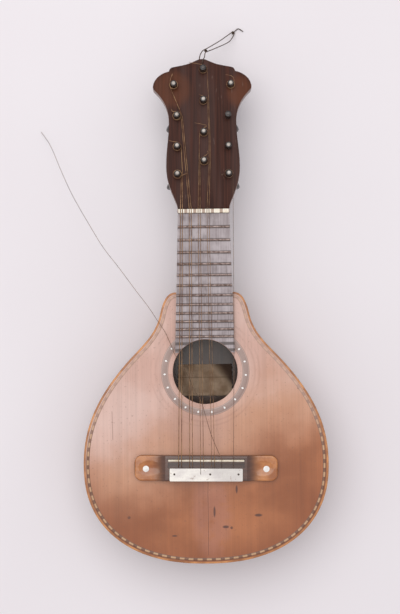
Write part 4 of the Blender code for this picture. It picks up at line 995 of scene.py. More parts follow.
def head_finish():
    """Dark red-brown veneer: fine lines and paler bands along the head, two warm glows, and scuffs."""
    finish = Finish("red_brown_veneer", roughness=0.45, shine=0.10)
    place = finish.place()
    x, y, _ = finish.parts(place)
    lines = finish.noise(place.scaled((520.0, 14.0, 14.0)), 1.0, 4)
    bands = finish.noise(place.scaled((95.0, 4.0, 4.0)), 1.0, 2)
    clouds = finish.noise(place, 26, 4)
    colour = finish.mix(lines.rise(0.3, 0.7), (0.030, 0.011, 0.008), (0.070, 0.023, 0.015))
    colour = finish.mix(bands.rise(0.42, 0.66) * 0.45, colour, (0.085, 0.048, 0.042))
    glow = dot_mask(x, y, (-0.032, 0.235), (0.020, 0.020)).maths(
        "MAXIMUM", dot_mask(x, y, (0.040, 0.232), (0.014, 0.018)))
    colour = finish.mix(glow * 0.45, colour, (0.16, 0.050, 0.020))
    scuffs = finish.noise(place.scaled((300.0, 60.0, 60.0)), 1.0, 5)
    colour = finish.mix(scuffs.rise(0.66, 0.74) * 0.35, colour, (0.20, 0.13, 0.11))
    return finish.paint(finish.shade(colour, clouds * 0.5 + 0.78), clouds * 0.25 + 0.22,
                        relief=lines * 0.6 + scuffs * 0.6, depth=0.0001, strength=0.3)


HEAD_VENEER = head_finish()
NECK_WOOD = worn_wood("neck_cedar", (0.20, 0.082, 0.040), (0.090, 0.036, 0.018), 0.36, 0.35,
                      (420.0, 12.0, 420.0))


def add_head_veneer():
    """The thin plate that shows on the head's front."""
    face = head_plate("head_face", -VENEER, 0.0, VENEER_CORNER, HEAD_VENEER)
    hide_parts("head_veneer")


add_head_veneer()
print("head outline: %d points" % len(HEAD_OUTLINE))

# %% [markdown]
# The neck is one carved piece: round-backed under the strings, deepening and narrowing into the heel at the
# body, and running on as a tongue under the leaning head. It could be carved from a box with modifiers.
# Here it is a loft of sections, worked out for all of them at once, and the heel gets the most, because it
# changes fastest.

# %% The neck and its heel
STRING_LENGTH = 0.2600
BOARD_WIDENING = 0.0038
SECTION_POINTS = 61
HEEL_LENGTH, HEEL_CAP_LENGTH, HEEL_CAP_HEIGHT = 0.0460, 0.0080, 0.0032
SHAFT_DEPTH, SHAFT_END_DEPTH, NUT_END_DEPTH = 0.0170, 0.0140, 0.0148
SHAFT_END_TO_NUT = 0.012
TONGUE_LENGTH = 0.024


def board_half(y):
    """Half the neck's width at y: it widens evenly from the nut to the twelfth fret."""
    return NUT_HALF + BOARD_WIDENING * (NUT_Y - y) / (STRING_LENGTH / 2)


def neck_sections(y, half, depth, heel, top):
    """Sections with a flat top: x is the half width times a power of the cosine, drop is the depth times a
    power of the sine, and the powers change as the shaft becomes the heel. Each argument is an array."""
    angle = np.linspace(0, math.pi, SECTION_POINTS)[None, :]
    c, s = np.cos(angle), np.clip(np.sin(angle), 0, 1)
    half, depth, heel, y, top = (value[:, None] for value in (half, depth, heel, y, top))
    shaft_x = half * np.sign(c) * np.abs(c) ** 0.85
    heel_x = half * np.sign(c) * np.abs(c) ** 0.45 * (1 - 0.52 * s)
    drop = depth * ((1 - heel) * s ** 0.8 + heel * s ** 0.95)
    return np.dstack((shaft_x + (heel_x - shaft_x) * heel, y + 0 * s, top - drop))


def neck_grid():
    """Four stretches joined: the heel, whose depth falls with the power 2.6 of the way, the shaft, one
    section at the nut, and the tongue, from the middle of the head's thickness to just below its back."""
    share = np.linspace(0, 1, 40)
    cap_share = HEEL_CAP_LENGTH / HEEL_LENGTH
    heel = (1 - np.clip((share - cap_share) / (1 - cap_share), 0, 1)) ** 2.6
    y = JOINT_Y + GAP + share * HEEL_LENGTH
    depth = SHAFT_DEPTH + (TOP_Z - HEEL_CAP_HEIGHT - SHAFT_DEPTH) * heel
    far = np.linspace(y[-1], NUT_Y - SHAFT_END_TO_NUT, 14)[1:]
    far_depth = np.linspace(SHAFT_DEPTH, SHAFT_END_DEPTH, 14)[1:]
    way = np.linspace(0.05, 1.0, 14)
    middle = on_head(np.column_stack((0 * way, way * TONGUE_LENGTH, 0 * way + (CORE_TOP + HEAD_BACK) / 2)))
    below = np.interp(way, (0, 0.3, 0.65, 1.0), (0.0030, 0.0034, 0.0024, 0.0003))
    lowest = on_head(np.column_stack((0 * way, way * TONGUE_LENGTH, HEAD_BACK - below)))
    ys = np.concatenate((y, far, [HEAD_START_Y - GAP], middle[:, 1]))
    halves = np.concatenate((board_half(y), board_half(far), [NUT_HALF], NUT_HALF * (1 - 0.78 * way ** 2)))
    depths = np.concatenate((depth, far_depth, [NUT_END_DEPTH], middle[:, 2] - lowest[:, 2]))
    heels = np.concatenate((heel ** 0.5, 0 * far, [0], 0 * way))
    tops = np.concatenate((np.full(len(y) + len(far) + 1, TOP_Z), middle[:, 2]))
    return neck_sections(ys, halves, depths, heels, tops)


def add_neck():
    """Shaft and head core are one piece of wood on the real neck, and stand for one solid together."""
    grid = neck_grid()
    shaft = surface("neck_shaft", grid, NECK_WOOD, wrap_columns=True, caps=True)
    core = head_plate("head_core", HEAD_BACK, CORE_TOP, CORE_CORNER, NECK_WOOD)
    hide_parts("neck")
    return len(grid)


print("neck sections:", add_neck())

# %% [markdown]
# Twelve friction pegs hold the strings. Each is turned and carved from one piece of black wood: a tapered
# shaft with a small collar behind the head, a slim stem and a flat oval thumb piece, and a bone dome is let
# into its front end; the dome's pale colour is also a painted highlight, and two domes take a dark copy of
# the finish without it. It could be joined from cylinders and a flattened ball. One loft of ovals has no
# seams, and each rides on its own peg's body, so that it turns with it.

# %% The pegs' sizes and places
PEG_SIDE_ROWS = (0.1330, 0.0992, 0.0659, 0.0359)
PEG_CENTRE_ROWS = (0.1499, 0.1158, 0.0811, 0.0502)
PEG_CENTRE_SHIFT = 0.0011
POST_RADIUS = 0.0033
POST_HEIGHT = 0.0120
PEG_TAPER = 0.0008
PEG_TURN_DEG = {"left": 32.0, "centre": 90.0, "right": -32.0}
# Two domes painted dark, without the painted highlight that the others carry.
UNLIT_DOMES = ("centre_1", "right_2")
TOP_ROW_HALF, OTHER_ROWS_HALF = 0.0303, 0.0271
STEM_LENGTH = 0.0085
PADDLE_HALF_WIDTH, PADDLE_HALF_THICKNESS, PADDLE_LENGTH, PADDLE_ROWS = 0.0140, 0.0052, 0.0205, 22
DOME_RADIUS, DOME_RISE, DOME_SEAT = 0.0019, 0.0011, 0.0012


def peg_places():
    """(u, v) of each post on the head's face, in three columns of four from the top down."""
    places = {}
    for row, (side, centre) in enumerate(zip(PEG_SIDE_ROWS, PEG_CENTRE_ROWS), 1):
        half = TOP_ROW_HALF if row == 1 else OTHER_ROWS_HALF
        places["left_%d" % row] = (-half, side)
        places["centre_%d" % row] = (PEG_CENTRE_SHIFT, centre)
        places["right_%d" % row] = (half, side)
    return places


PEGS = peg_places()
print("posts:", len(PEGS))

# %% Finishes of pegs, bone and nut
NUT_COURSE_SPACING = 0.0093


def peg_finish():
    """Black wood, browner and rougher where fingers have worn it."""
    finish = Finish("black_peg", roughness=0.26, coat=0.5, coat_roughness=0.12)
    place = finish.place()
    wear = finish.noise(place, 240, 4)
    colour = finish.mix(wear.rise(0.45, 0.75), (0.014, 0.011, 0.010), (0.055, 0.042, 0.034))
    return finish.paint(colour, wear * 0.3 + 0.16, relief=wear, depth=0.00008, strength=0.3)


def bone_finish(name, light, dark, roughness=0.3):
    """Two tones in clouds, with brown pores where a fine noise passes a limit."""
    finish = Finish(name, roughness=roughness, coat=0.3, coat_roughness=0.15)
    place = finish.place()
    clouds = finish.noise(place, 180, 4)
    pores = finish.noise(place, 1400, 2)
    colour = finish.mix(clouds.rise(0.3, 0.75), light, dark)
    colour = finish.mix(pores.rise(0.66, 0.72) * 0.4, colour, (0.35, 0.25, 0.16))
    return finish.paint(colour, clouds * 0.2 + roughness - 0.08, relief=pores, depth=0.00004, strength=0.3)


PEG_BLACK = peg_finish()
BONE = bone_finish("aged_bone", (0.88, 0.82, 0.70), (0.66, 0.54, 0.38))
# The pale dome colour is bone and a painted highlight together; the dark copy below paints the same domes
# unlit.
HIGHLIT_DOME_BONE = bone_finish("peg_bone", (0.60, 0.55, 0.50), (0.34, 0.29, 0.25), 0.22)
UNLIT_DOME_BONE = bone_finish("unlit_dome_bone", (0.10, 0.085, 0.08), (0.05, 0.04, 0.038))


def nut_finish():
    """Pale bone, darker brown where the fraction of x over the courses' spacing says that a pair of grooves
    is near."""
    finish = Finish("grooved_nut", roughness=0.3, coat=0.3, coat_roughness=0.15)
    place = finish.place()
    x, _, _ = finish.parts(place)
    clouds = finish.noise(place, 180, 4)
    colour = finish.mix(clouds.rise(0.3, 0.75), (0.95, 0.90, 0.80), (0.80, 0.70, 0.56))
    course = ((x / NUT_COURSE_SPACING + 0.5 + 20.0).fraction() - 0.5).size()
    # Darker brown by each pair of grooves.
    darker_by_grooves = 1 - (course + clouds * 0.06).rise(0.15, 0.26)
    colour = finish.mix(darker_by_grooves * 0.8, colour, (0.27, 0.14, 0.08))
    return finish.paint(colour, clouds * 0.2 + 0.2)


NUT_BONE = nut_finish()

# %% Pegs


def peg_surface(columns=40):
    """Rows of ovals down the peg: (height, radius) of the round part, then a paddle whose half width and
    half thickness are powers of the sine of an angle that goes round half an oval."""
    collar = HEAD_BACK - GAP
    root = POST_RADIUS + PEG_TAPER
    turned_rows = ((POST_HEIGHT - 0.0012, 0.0001), (POST_HEIGHT - 0.00125, POST_RADIUS * 0.75),
                   (POST_HEIGHT - 0.0016, POST_RADIUS * 0.93), (POST_HEIGHT - 0.0024, POST_RADIUS),
                   (0.0, POST_RADIUS), (HEAD_BACK, root), (collar, root + 0.0008),
                   (collar - 0.0003, root + 0.0012), (collar - 0.0019, root + 0.0012),
                   (collar - 0.0023, root + 0.0006), (collar - 0.0030, root - 0.0006),
                   (collar - 0.0042, root - 0.0008), (collar - 0.0060, root - 0.0006))
    rows = [(height, radius, radius) for height, radius in turned_rows]
    for share in np.linspace(0, 1, PADDLE_ROWS):
        angle = math.acos(1 - 2 * (0.06 + 0.94 * share))
        rows.append((collar - STEM_LENGTH + 0.0008 - share * PADDLE_LENGTH,
                     max(PADDLE_HALF_WIDTH * math.sin(angle) ** 0.75, 0.0004),
                     max(PADDLE_HALF_THICKNESS * math.sin(max(angle, 1.15)) ** 0.6, 0.0004)))
    angle = np.arange(columns) * 2 * math.pi / columns
    heights, widths, thicknesses = (column[:, None] for column in np.array(rows).T)
    x = widths * np.cos(angle)[None]
    y = thicknesses * np.sin(angle)[None]
    return np.dstack((x, y, heights + 0 * x))


def round_dome(radius, foot, rim, rise, tip, steps, columns):
    """A dome of revolution: a wall from foot to rim, then radius cos a at the height rim + rise sin a."""
    a = np.linspace(0, math.pi / 2, steps)
    r = np.concatenate(([radius], radius * np.cos(a)))
    r[-1] = tip
    h = np.concatenate(([foot], rim + rise * np.sin(a)))
    angle = np.arange(columns) * 2 * math.pi / columns
    return np.dstack((r[:, None] * np.cos(angle), r[:, None] * np.sin(angle), h[:, None] + 0 * angle))


def turned(grid, degrees, u, v):
    """A peg's grid turned by an angle about its own axis and set at (u, v) on the leaning head."""
    c, s = math.cos(math.radians(degrees)), math.sin(math.radians(degrees))
    x, y, h = grid[..., 0], grid[..., 1], grid[..., 2]
    return on_head(np.stack((u + x * c - y * s, v + x * s + y * c, h), axis=-1))


def add_pegs():
    """The same two grids for every peg, turned so that no thumb piece touches its neighbour."""
    rim = POST_HEIGHT - DOME_SEAT
    dome_grid = round_dome(DOME_RADIUS, rim - 0.0006, rim, DOME_RISE, 0.00002, 9, 28)
    for name, (u, v) in PEGS.items():
        body = "peg_" + name
        degrees = PEG_TURN_DEG[name.split("_")[0]]
        peg = surface("thumb_" + name, turned(peg_surface(), degrees, u, v), PEG_BLACK, wrap_columns=True,
                      caps=True, body=body)
        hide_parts(body)
        # Pale domes carry a painted highlight; the two listed domes take the dark, unlit copy.
        bone = UNLIT_DOME_BONE if name in UNLIT_DOMES else HIGHLIT_DOME_BONE
        dome = surface("dome_" + name, turned(dome_grid, degrees, u, v), bone, wrap_columns=True,
                       caps=True, body=body)
    return len(PEGS)


print("pegs:", add_pegs())

# %% [markdown]
# The fretboard, frets, nut and saddle are plain shapes. They could be made again, but the imported solids
# already have their shape and only need wood, worn metal and bone. The board's pale grey, paler in clouds,
# is painted glare, and painted shade lies along each fret. The rule that places the frets is turned round,
# so that the shade finds them.

# %% Finishes of fretboard and frets


def fretboard_finish():
    """Painted glare as a pale grey ground with paler clouds, and painted shade at each fret: number n = -12
    log2(1 - d / L), d from the nut."""
    finish = Finish("worn_fretboard", roughness=0.34, coat=0.3, coat_roughness=0.25)
    place = finish.place()
    _, y, _ = finish.parts(place)
    lines = finish.noise(place.scaled((700.0, 16.0, 16.0)), 1.0, 4)
    clouds = finish.noise(place, 55, 4)
    dirt = finish.noise(place.scaled((180.0, 60.0, 60.0)), 1.0, 4)
    left = (y - (NUT_Y - STRING_LENGTH)) / STRING_LENGTH
    number = left.maths("LOGARITHM", 2.0) * -12.0
    off = ((number + 0.5).fraction() - 0.5).size() * left * (STRING_LENGTH * math.log(2) / 12)
    # The pale grey ground and its paler clouds paint the glare on the board; the grain lines in it are the
    # wood's.
    colour = finish.mix(lines.rise(0.3, 0.7), (0.215, 0.17, 0.178), (0.35, 0.295, 0.31))
    colour = finish.mix(clouds.rise(0.38, 0.7) * 0.6, colour, (0.54, 0.48, 0.50))
    colour = finish.mix(dirt.rise(0.56, 0.72) * 0.45, colour, (0.10, 0.065, 0.062))
    # Painted shade along each fret, darkest right at it.
    fret_shade = (1 - (off + dirt * 0.0008).rise(0.0014, 0.0026)) * number.above(0.5)
    colour = finish.mix(fret_shade * 0.85, colour, (0.045, 0.026, 0.022))
    return finish.paint(colour, clouds * 0.22 + 0.26, relief=lines + dirt * 0.5, depth=0.00012,
                        strength=0.3)


def fret_finish():
    """Dull metal in two tones, rougher where it is darker."""
    finish = Finish("worn_fret_metal", roughness=0.36, metallic=0.9)
    place = finish.place()
    wear = finish.noise(place, 300, 4)
    colour = finish.mix(wear.rise(0.35, 0.7), (0.36, 0.28, 0.26), (0.15, 0.10, 0.085))
    return finish.paint(colour, wear * 0.3 + 0.26, relief=wear, depth=0.00005, strength=0.3)


FRETBOARD = fretboard_finish()
FRET_METAL = fret_finish()

# %% Fretboard, frets, nut and saddle
FRETS = 12


def dress(node, finish):
    """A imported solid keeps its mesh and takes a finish."""
    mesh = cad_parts[node].data
    mesh.materials.clear()
    mesh.materials.append(finish.material)


dress("fretboard", FRETBOARD)
dress("nut", NUT_BONE)
dress("saddle", BONE)
for number in range(1, FRETS + 1):
    dress("fret_%02d" % number, FRET_METAL)
RAW_WOOD = worn_wood("raw_cedar", (0.26, 0.14, 0.075), (0.14, 0.07, 0.038), 0.7, 0.0,
                     (400.0, 30.0, 400.0))
for node in ("neck_block", "tail_block", "lining_top", "lining_back", "top_bar_upper", "top_bar_lower",
             "back_bar_upper", "back_bar_lower"):
    dress(node, RAW_WOOD)
print("packed solids dressed")

# %% [markdown]
# The bridge holds the strings' ends. Its middle block stands level, with a slot for the saddle and a
# channel behind it, and each wing sinks in a hollow ramp to a thin end with an oval dish. Cutters could be
# subtracted from a block, but a height over the plan says the same in a few lines, and leaves clean faces.

# %% The bridge's sizes and finish
BRIDGE_HALF, BRIDGE_FRONT, BRIDGE_BACK, BRIDGE_CORNER = 0.0754, 0.0052, 0.0220, 0.0080
BLOCK_HALF, BLOCK_HEIGHT, WING_HEIGHT, RAMP_RADIUS = 0.0430, 0.0073, 0.0041, 0.0220
SLOT_HALF_LENGTH, SLOT_HALF_WIDTH, SLOT_FLOOR = 0.0403, 0.00131, 0.0026
CHANNEL_HIGH_Y, CHANNEL_LOW_Y, CHANNEL_FLOOR = -0.0027, -0.0080, 0.0032
DISH_X, DISH_Y, DISH_HALF_LENGTH, DISH_HALF_WIDTH = 0.0599, -0.0084, 0.0150, 0.0105
DISH_DEPTH, DISH_CURVE = 0.0013, 0.0040
BRIDGE_SOFT_EDGE = 0.0016
HAIR = 0.00001
BRIDGE_SKEW = math.radians(-0.7)
SADDLE_Y = float(node_middle("saddle")[1])
BRIDGE_BASE = TOP_Z + GAP


def on_bridge(points):
    """Points in the bridge's own frame turned by its skew and set on the soundboard."""
    points = np.asarray(points, dtype=float)
    c, s = math.cos(BRIDGE_SKEW), math.sin(BRIDGE_SKEW)
    x, y, z = points[..., 0], points[..., 1], points[..., 2]
    return np.stack((x * c - y * s, SADDLE_Y + x * s + y * c, BRIDGE_BASE + z), axis=-1)


def bridge_finish():
    """Dark varnish on the block, worn to amber on the wings, and painted shade where the wood lies low, in
    the dishes and at the foot."""
    finish = Finish("varnished_bridge", roughness=0.24, coat=0.7, coat_roughness=0.12)
    place = finish.place()
    x, y, z = finish.parts(place)
    lines = finish.noise(place.scaled((26.0, 500.0, 300.0)), 1.0, 4)
    clouds = finish.noise(place, 70, 4)
    wing = x.size().rise(0.044, 0.060)
    dark = finish.mix(lines, (0.050, 0.017, 0.010), (0.12, 0.046, 0.026))
    amber = finish.mix(clouds.rise(0.3, 0.7), (0.33, 0.10, 0.025), (0.56, 0.22, 0.07))
    colour = finish.mix(wing, dark, amber)
    # Painted shade on the low parts, in the dishes and at the foot; an oval in each dish is left lit.
    lit = (z - TOP_Z).rise(0.0028, 0.0042) + dot_mask(x.size(), y, (DISH_X, -0.1665), (0.0125, 0.0085))
    colour = finish.mix(1 - lit.rise(0.0, 0.7), colour, (0.045, 0.016, 0.009))
    return finish.paint(finish.shade(colour, lines * 0.4 + 0.8), clouds * 0.2 + 0.14,
                        relief=lines, depth=0.0001, strength=0.25)


BRIDGE = bridge_finish()

# %% The bridge


def bridge_height(x, y):
    """Height over the base: a level block, ramps that are arcs of one radius, dishes, slot and channel."""
    reach = math.sqrt(RAMP_RADIUS ** 2 - (RAMP_RADIUS - BLOCK_HEIGHT + WING_HEIGHT) ** 2)
    past = np.clip(BLOCK_HALF + reach - np.abs(x), 0, reach)
    height = WING_HEIGHT + RAMP_RADIUS - np.sqrt(RAMP_RADIUS ** 2 - past ** 2)
    height = np.where(np.abs(x) < BLOCK_HALF, BLOCK_HEIGHT, height)
    oval = ((np.abs(x) - DISH_X) / DISH_HALF_LENGTH) ** 2 + ((y - DISH_Y) / DISH_HALF_WIDTH) ** 2
    dish = WING_HEIGHT - DISH_DEPTH + DISH_CURVE * (1 - np.sqrt(np.clip(1 - oval, 0, 1)))
    height = np.where(oval < 1, np.minimum(height, dish), height)
    between = np.abs(x) < SLOT_HALF_LENGTH
    slot = between & (np.abs(y) < SLOT_HALF_WIDTH)
    channel = between & (y < CHANNEL_HIGH_Y) & (y > CHANNEL_LOW_Y)
    return np.where(slot, SLOT_FLOOR, np.where(channel, CHANNEL_FLOOR, height))


def add_bridge():
    """Top and underside as one closed grid; lines of it run a hair apart where a wall stands upright, and
    the border falls by a quarter round."""
    ends = [side * x for side in (-1, 1) for x in (SLOT_HALF_LENGTH, SLOT_HALF_LENGTH - HAIR, BLOCK_HALF)]
    across = np.unique(np.concatenate((np.linspace(-1, 1, 301) * BRIDGE_HALF, ends)))
    edge = np.clip(np.abs(across) - (BRIDGE_HALF - BRIDGE_CORNER), 0, BRIDGE_CORNER)
    cut = BRIDGE_CORNER - np.sqrt(np.clip(BRIDGE_CORNER ** 2 - edge ** 2, 0, None))
    high_y, low_y = BRIDGE_FRONT - cut, -BRIDGE_BACK + cut
    walls = [CHANNEL_LOW_Y, CHANNEL_LOW_Y + HAIR, CHANNEL_HIGH_Y, CHANNEL_HIGH_Y + HAIR,
             -SLOT_HALF_WIDTH + HAIR, -SLOT_HALF_WIDTH, SLOT_HALF_WIDTH - HAIR, SLOT_HALF_WIDTH]
    share = np.unique(np.concatenate((np.linspace(-BRIDGE_BACK, BRIDGE_FRONT, 66), walls))) + BRIDGE_BACK
    share /= BRIDGE_BACK + BRIDGE_FRONT
    x = across[None, :] + 0 * share[:, None]
    y = low_y[None, :] + (high_y - low_y)[None, :] * share[:, None]
    z = bridge_height(x, y)
    border = np.minimum(np.minimum(high_y[None] - y, y - low_y[None]), BRIDGE_HALF - np.abs(x))
    soft = BRIDGE_SOFT_EDGE
    z = z - (soft - np.sqrt(np.clip(soft ** 2 - np.clip(soft - border, 0, soft) ** 2, 0, None)))
    top = np.dstack((x, y, z))
    under = top.copy()
    under[..., 2] = 0.0
    grid = np.concatenate((top, under[::-1]), axis=0)
    piece = surface("scooped_bridge", on_bridge(grid), BRIDGE, wrap_rows=True)
    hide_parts("bridge")
    return len(piece.data.polygons)


print("bridge faces:", add_bridge())

# %% [markdown]
# The tie plate is a thin sheet of shell held by three small nails, and two round shell dots sit in the
# wings. A flattened ball could serve for a nail's head. A dome of revolution on a short wall is as quick,
# and closes neatly against the wood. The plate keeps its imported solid.

# %% Finishes of shell and nails


def shell_finish():
    """White shell in soft bands, greyer at one corner, with one crack and specks of dirt."""
    finish = Finish("old_shell", roughness=0.22, coat=0.4, coat_roughness=0.1)
    place = finish.place()
    x, y, _ = finish.parts(place)
    bands = finish.noise(place.scaled((60.0, 160.0, 60.0)), 1.0, 5)
    fine = finish.noise(place.scaled((900.0, 240.0, 240.0)), 1.0, 3)
    colour = finish.mix(bands.rise(0.35, 0.65), (0.93, 0.89, 0.82), (0.76, 0.71, 0.68))
    greyer = (x + (y + 0.172) * 1.3 + bands * 0.01).rise(0.004, 0.020)
    colour = finish.mix(greyer * 0.65, colour, (0.60, 0.56, 0.54))
    crack = (x + 0.0055 + fine * 0.0008).size().below(0.0003) * y.above(-0.1725)
    colour = finish.mix(crack, colour, (0.12, 0.08, 0.06))
    dirt = finish.noise(place, 330, 5)
    colour = finish.mix(dirt.rise(0.62, 0.70) * 0.6, colour, (0.34, 0.24, 0.18))
    return finish.paint(colour, fine * 0.25 + 0.14, relief=fine + dirt - crack * 2.0, depth=0.00008,
                        strength=0.3)


SHELL = shell_finish()
DOT_SHELL = bone_finish("dot_shell", (0.93, 0.91, 0.88), (0.78, 0.75, 0.73), 0.2)
NAIL = Finish("iron_nail", (0.07, 0.055, 0.05), 0.4, 0.9)
NAIL.paint(NAIL.mix(NAIL.noise(NAIL.place(), 900, 3), (0.10, 0.075, 0.06), (0.03, 0.022, 0.018)))
dress("tie_plate", SHELL)

# %% Shell plate, nails and dots
NAIL_PLACES = ((-0.0334, -0.0144), (0.0042, -0.0144), (0.0339, -0.0144))
NAIL_RADIUS, NAIL_WALL = 0.0011, 0.003
NAIL_RISE, DOT_RISE = NAIL_RADIUS * 0.18, 0.00035640
DOT_X, DOT_Y, DOT_RADIUS, DOT_WALL, DOT_SINK = 0.0634, -0.0092, 0.0033, 0.0013, 0.0012


def button(name, place, radius, base, wall, rise, finish):
    """A round button in the bridge's frame, from a base height: a short wall, then a low dome."""
    grid = round_dome(radius, base, base + wall, rise, 0.00001, 7, 36) + (*place, 0.0)
    return surface(name, on_bridge(grid), finish, wrap_columns=True, caps=True)


def add_buttons():
    """Three nails through the plate, and a dot on each wing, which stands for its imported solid."""
    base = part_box("tie_plate")[1][2] - BRIDGE_BASE - NAIL_WALL
    for number, place in enumerate(NAIL_PLACES, 1):
        nail = button("plate_nail_%d" % number, place, NAIL_RADIUS, base, NAIL_WALL, NAIL_RISE, NAIL)
    for side, node in ((-1, "bridge_dot_left"), (1, "bridge_dot_right")):
        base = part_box(node)[1][2] - BRIDGE_BASE - DOT_SINK
        place = (side * DOT_X, DOT_Y)
        dot = button("shell_" + node, place, DOT_RADIUS, base, DOT_WALL, DOT_RISE, DOT_SHELL)
        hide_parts(node)


add_buttons()
print("plate, nails and dots are set")

# %% [markdown]
# Each string starts at its cut end, winds round its post, leaves along the tangent to what it passes next,
# lies in its nut groove, crosses the saddle and goes down into the tie block. A spring could be screwed up
# for each winding and a straight wire joined to it, but the joint would show, so the whole string is one
# path. A winding is a helix in the head's frame: (u + r cos a, v + r sin a, height + pitch a / 2 pi).

# %% The strings' sizes and routes
COURSE_RADII = (0.00037, 0.00032, 0.00025, 0.00022, 0.00024, 0.00021)
COIL_RADIUS = 0.0043
COIL_HEIGHT = 0.0022
SLIPPED_COIL_HEIGHT = 0.0042
COIL_PITCH_GAP = 0.00055
PASSING_GAP = 0.0004
TURN_STEPS = 40
NUT_GROOVE_DEPTH = 0.0010
NUT_PAIR_SPACING = 0.0021
SADDLE_COURSE_SPACING, SADDLE_PAIR_SPACING, SADDLE_SHIFT = 0.0115, 0.0030, 0.0014
SADDLE_HALF_CROWN, SADDLE_CROWN_DROP = 0.0010, 0.0001
TIE_HOLE_Y, STRING_END_Y, TIE_HEIGHT = -0.0080, -0.0135, 0.0054
NUT_FLOOR_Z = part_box("nut")[1][2] - NUT_GROOVE_DEPTH
FRET_TOP_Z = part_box("fret_12")[1][2]
LAST_FRET_Y = float(node_middle("fret_12")[1])
SADDLE_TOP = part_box("saddle")[1][2] - BRIDGE_BASE
# For each string: its post, the sense of its winding, its course and side, the posts that it passes (post,
# degrees, extra mm), and the places of its cut end, in mm from its post.
STRING_ROUTES = {
    "string_1a": ("left_4", 1, 0, -1, (), ((4.6, -1.8, 0.2), (10.4, 0.6, 0.6))),
    "string_1b": ("left_3", 1, 0, 1, (("left_4", 0, 0.0),), ((-5.0, 5.2, 0.3), (-8.4, 6.2, 0.9))),
    "string_2a": ("left_2", 1, 1, -1, (), ((-4.6, 4.6, 0.2), (-5.4, 6.6, 0.6))),
    "string_2b": ("left_1", -1, 1, 1, (("left_2", 42, 0.3), ("left_2", -4, 0.3)),
                  ((-3.2, 6.0, 0.2), (-1.0, 11.5, 1.2))),
    "string_3a": ("centre_3", -1, 2, -1, (), ((3.4, 6.6, 0.2), (-1.5, 8.2, 1.0), (-9.6, 9.8, 1.4))),
    "string_3b": ("centre_4", -1, 2, 1, (), ((2.4, 6.2, 0.2), (4.4, 8.6, 0.4), (3.4, 10.2, 0.5))),
    "string_4a": ("centre_2", 1, 3, -1, (("centre_3", 0, 0.1), ("centre_4", 0, 0.1)),
                  ((-2.6, 5.4, 0.1), (-5.0, 6.4, 0.4))),
    "string_4b": ("centre_1", 1, 3, 1, (("centre_2", 0, 0.3), ("centre_3", 0, 1.3), ("centre_4", 0, 1.3)),
                  ((-3.6, 5.2, 0.2), (-14.8, 7.0, 1.6))),
    "string_6a": ("right_4", 1, 5, -1, (), ((-5.2, -0.6, 0.2), (-7.6, -1.6, 0.2), (-4.6, -5.6, 0.2))),
}
STUB_PEG, STUB_START_DEG, STUB_TURNS = "right_1", 200, 2.4
STUB_TAIL = ((2.4, 7.5, 5.2), (-5.2, 10.2, 5.8))

# %% Paths of the strings


def place_across(course, side, spacing, pair_spacing, shift=0.0):
    """Place across the neck of one string: course 0 to 5 from the bass side, side -1 or +1 in its pair."""
    return (course - 2.5) * spacing + side * pair_spacing / 2 + shift


def coil(peg, start, turns, sense, radius, height):
    """A helix round a post, whose turns lie a string's thickness and a gap apart."""
    u, v = PEGS[peg]
    done = np.linspace(0, turns, math.ceil(turns * TURN_STEPS) + 1)
    angle = start + sense * 2 * math.pi * done
    return np.column_stack((u + COIL_RADIUS * np.cos(angle), v + COIL_RADIUS * np.sin(angle),
                            height + (2 * radius + COIL_PITCH_GAP) * done))


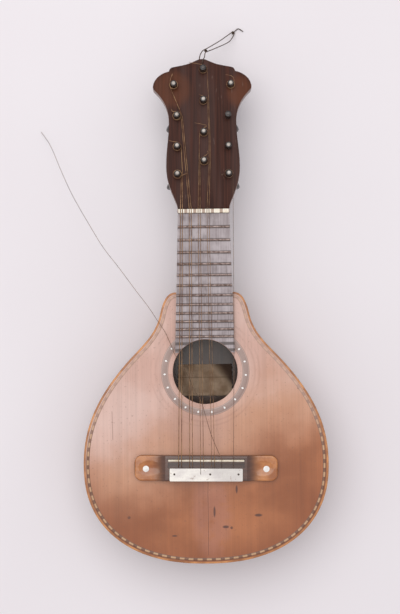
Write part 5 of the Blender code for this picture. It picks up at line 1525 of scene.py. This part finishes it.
def string_path(peg, sense, course, side, passes, tail):
    """The whole path as one array, from the cut end to the tie block. The winding starts where the tangent
    to the first thing passed touches it and stops where the tangent to the cut end does: the direction to
    that point, plus or minus acos(radius / distance). The last course has slipped off beside the last
    fret."""
    radius = COURSE_RADII[course]
    u, v = PEGS[peg]
    nut_x = place_across(course, side, NUT_COURSE_SPACING, NUT_PAIR_SPACING)
    if course == len(COURSE_RADII) - 1:
        over = np.array([(board_half(LAST_FRET_Y) - GAP, LAST_FRET_Y, FRET_TOP_Z + 2 * GAP + radius)])
        target = np.array((over[0][0], LAST_FRET_Y - HEAD_START_Y))
        height = SLIPPED_COIL_HEIGHT
    else:
        z = NUT_FLOOR_Z + GAP + radius
        over = np.array([(nut_x, NUT_Y + NUT_DEPTH, z), (nut_x, NUT_Y, z)])
        target = np.array((nut_x, 0.0))
        height = COIL_HEIGHT
    ways = []
    for post, degrees, extra in passes:
        reach = COIL_RADIUS + COURSE_RADII[0] + PASSING_GAP + radius + extra / 1000
        a = math.radians(degrees)
        ways.append((PEGS[post][0] + reach * math.cos(a), PEGS[post][1] + reach * math.sin(a)))
    first = np.array(ways[0]) if ways else target
    offset = first - np.array((u, v))
    start = math.atan2(offset[1], offset[0]) + sense * math.acos(COIL_RADIUS / np.linalg.norm(offset))
    across, up = np.array(tail[0][:2]) / 1000
    stop = math.atan2(up, across) - sense * math.acos(min(1.0, COIL_RADIUS / math.hypot(across, up)))
    turns = 2 + (sense * (stop - start)) % (2 * math.pi) / (2 * math.pi)
    winding = coil(peg, start, turns, sense, radius, height)
    end = winding[-1]
    cut = [(u + du / 1000, v + dv / 1000, end[2] + rise / 1000) for du, dv, rise in tail][::-1]
    cut = smooth_route(cut + [tuple(end)], 20)[:-1]
    nut_height = (NUT_FLOOR_Z + GAP + radius - HEAD_FACE_Z) / math.cos(TILT)
    near = winding[0][:2]
    passing = []
    for way in ways:
        share = min(1.0, np.linalg.norm(np.array(way) - near) / np.linalg.norm(target - near))
        passing.append((*way, COIL_HEIGHT + (nut_height - COIL_HEIGHT) * share))
    headward = on_head(np.vstack([cut, winding[::-1]] + ([passing] if passing else [])))
    x = place_across(course, side, SADDLE_COURSE_SPACING, SADDLE_PAIR_SPACING, SADDLE_SHIFT)
    top = SADDLE_TOP + GAP + radius
    tie = on_bridge([(x, SADDLE_HALF_CROWN, top), (x, -SADDLE_HALF_CROWN, top - SADDLE_CROWN_DROP),
                     (x, TIE_HOLE_Y, TIE_HEIGHT), (x, STRING_END_Y, TIE_HEIGHT)])
    return np.vstack((headward, over, tie))


def add_strings():
    """Nine whole strings, and the stub of a broken one, which turns with its peg."""
    longest = 0.0
    for name, route in STRING_ROUTES.items():
        path = string_path(*route)
        finish = BRONZE if route[2] < 4 else DARK_WIRE
        piece = wire("wound_" + name, path, COURSE_RADII[route[2]], finish, sides=10)
        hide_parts(name)
        longest = max(longest, route_length(path))
    u, v = PEGS[STUB_PEG]
    stub = coil(STUB_PEG, math.radians(STUB_START_DEG), STUB_TURNS, 1, COURSE_RADII[5], COIL_HEIGHT)
    tail = [(u + du / 1000, v + dv / 1000, height / 1000) for du, dv, height in STUB_TAIL]
    free = smooth_route([tuple(stub[-1])] + tail, 24)
    piece = wire("wound_stub", on_head(np.vstack((stub, free[1:]))), COURSE_RADII[5], BRONZE, sides=10,
                 body="peg_" + STUB_PEG)
    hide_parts("string_stub")
    return longest


print("longest string with its winding: %.3f m" % add_strings())
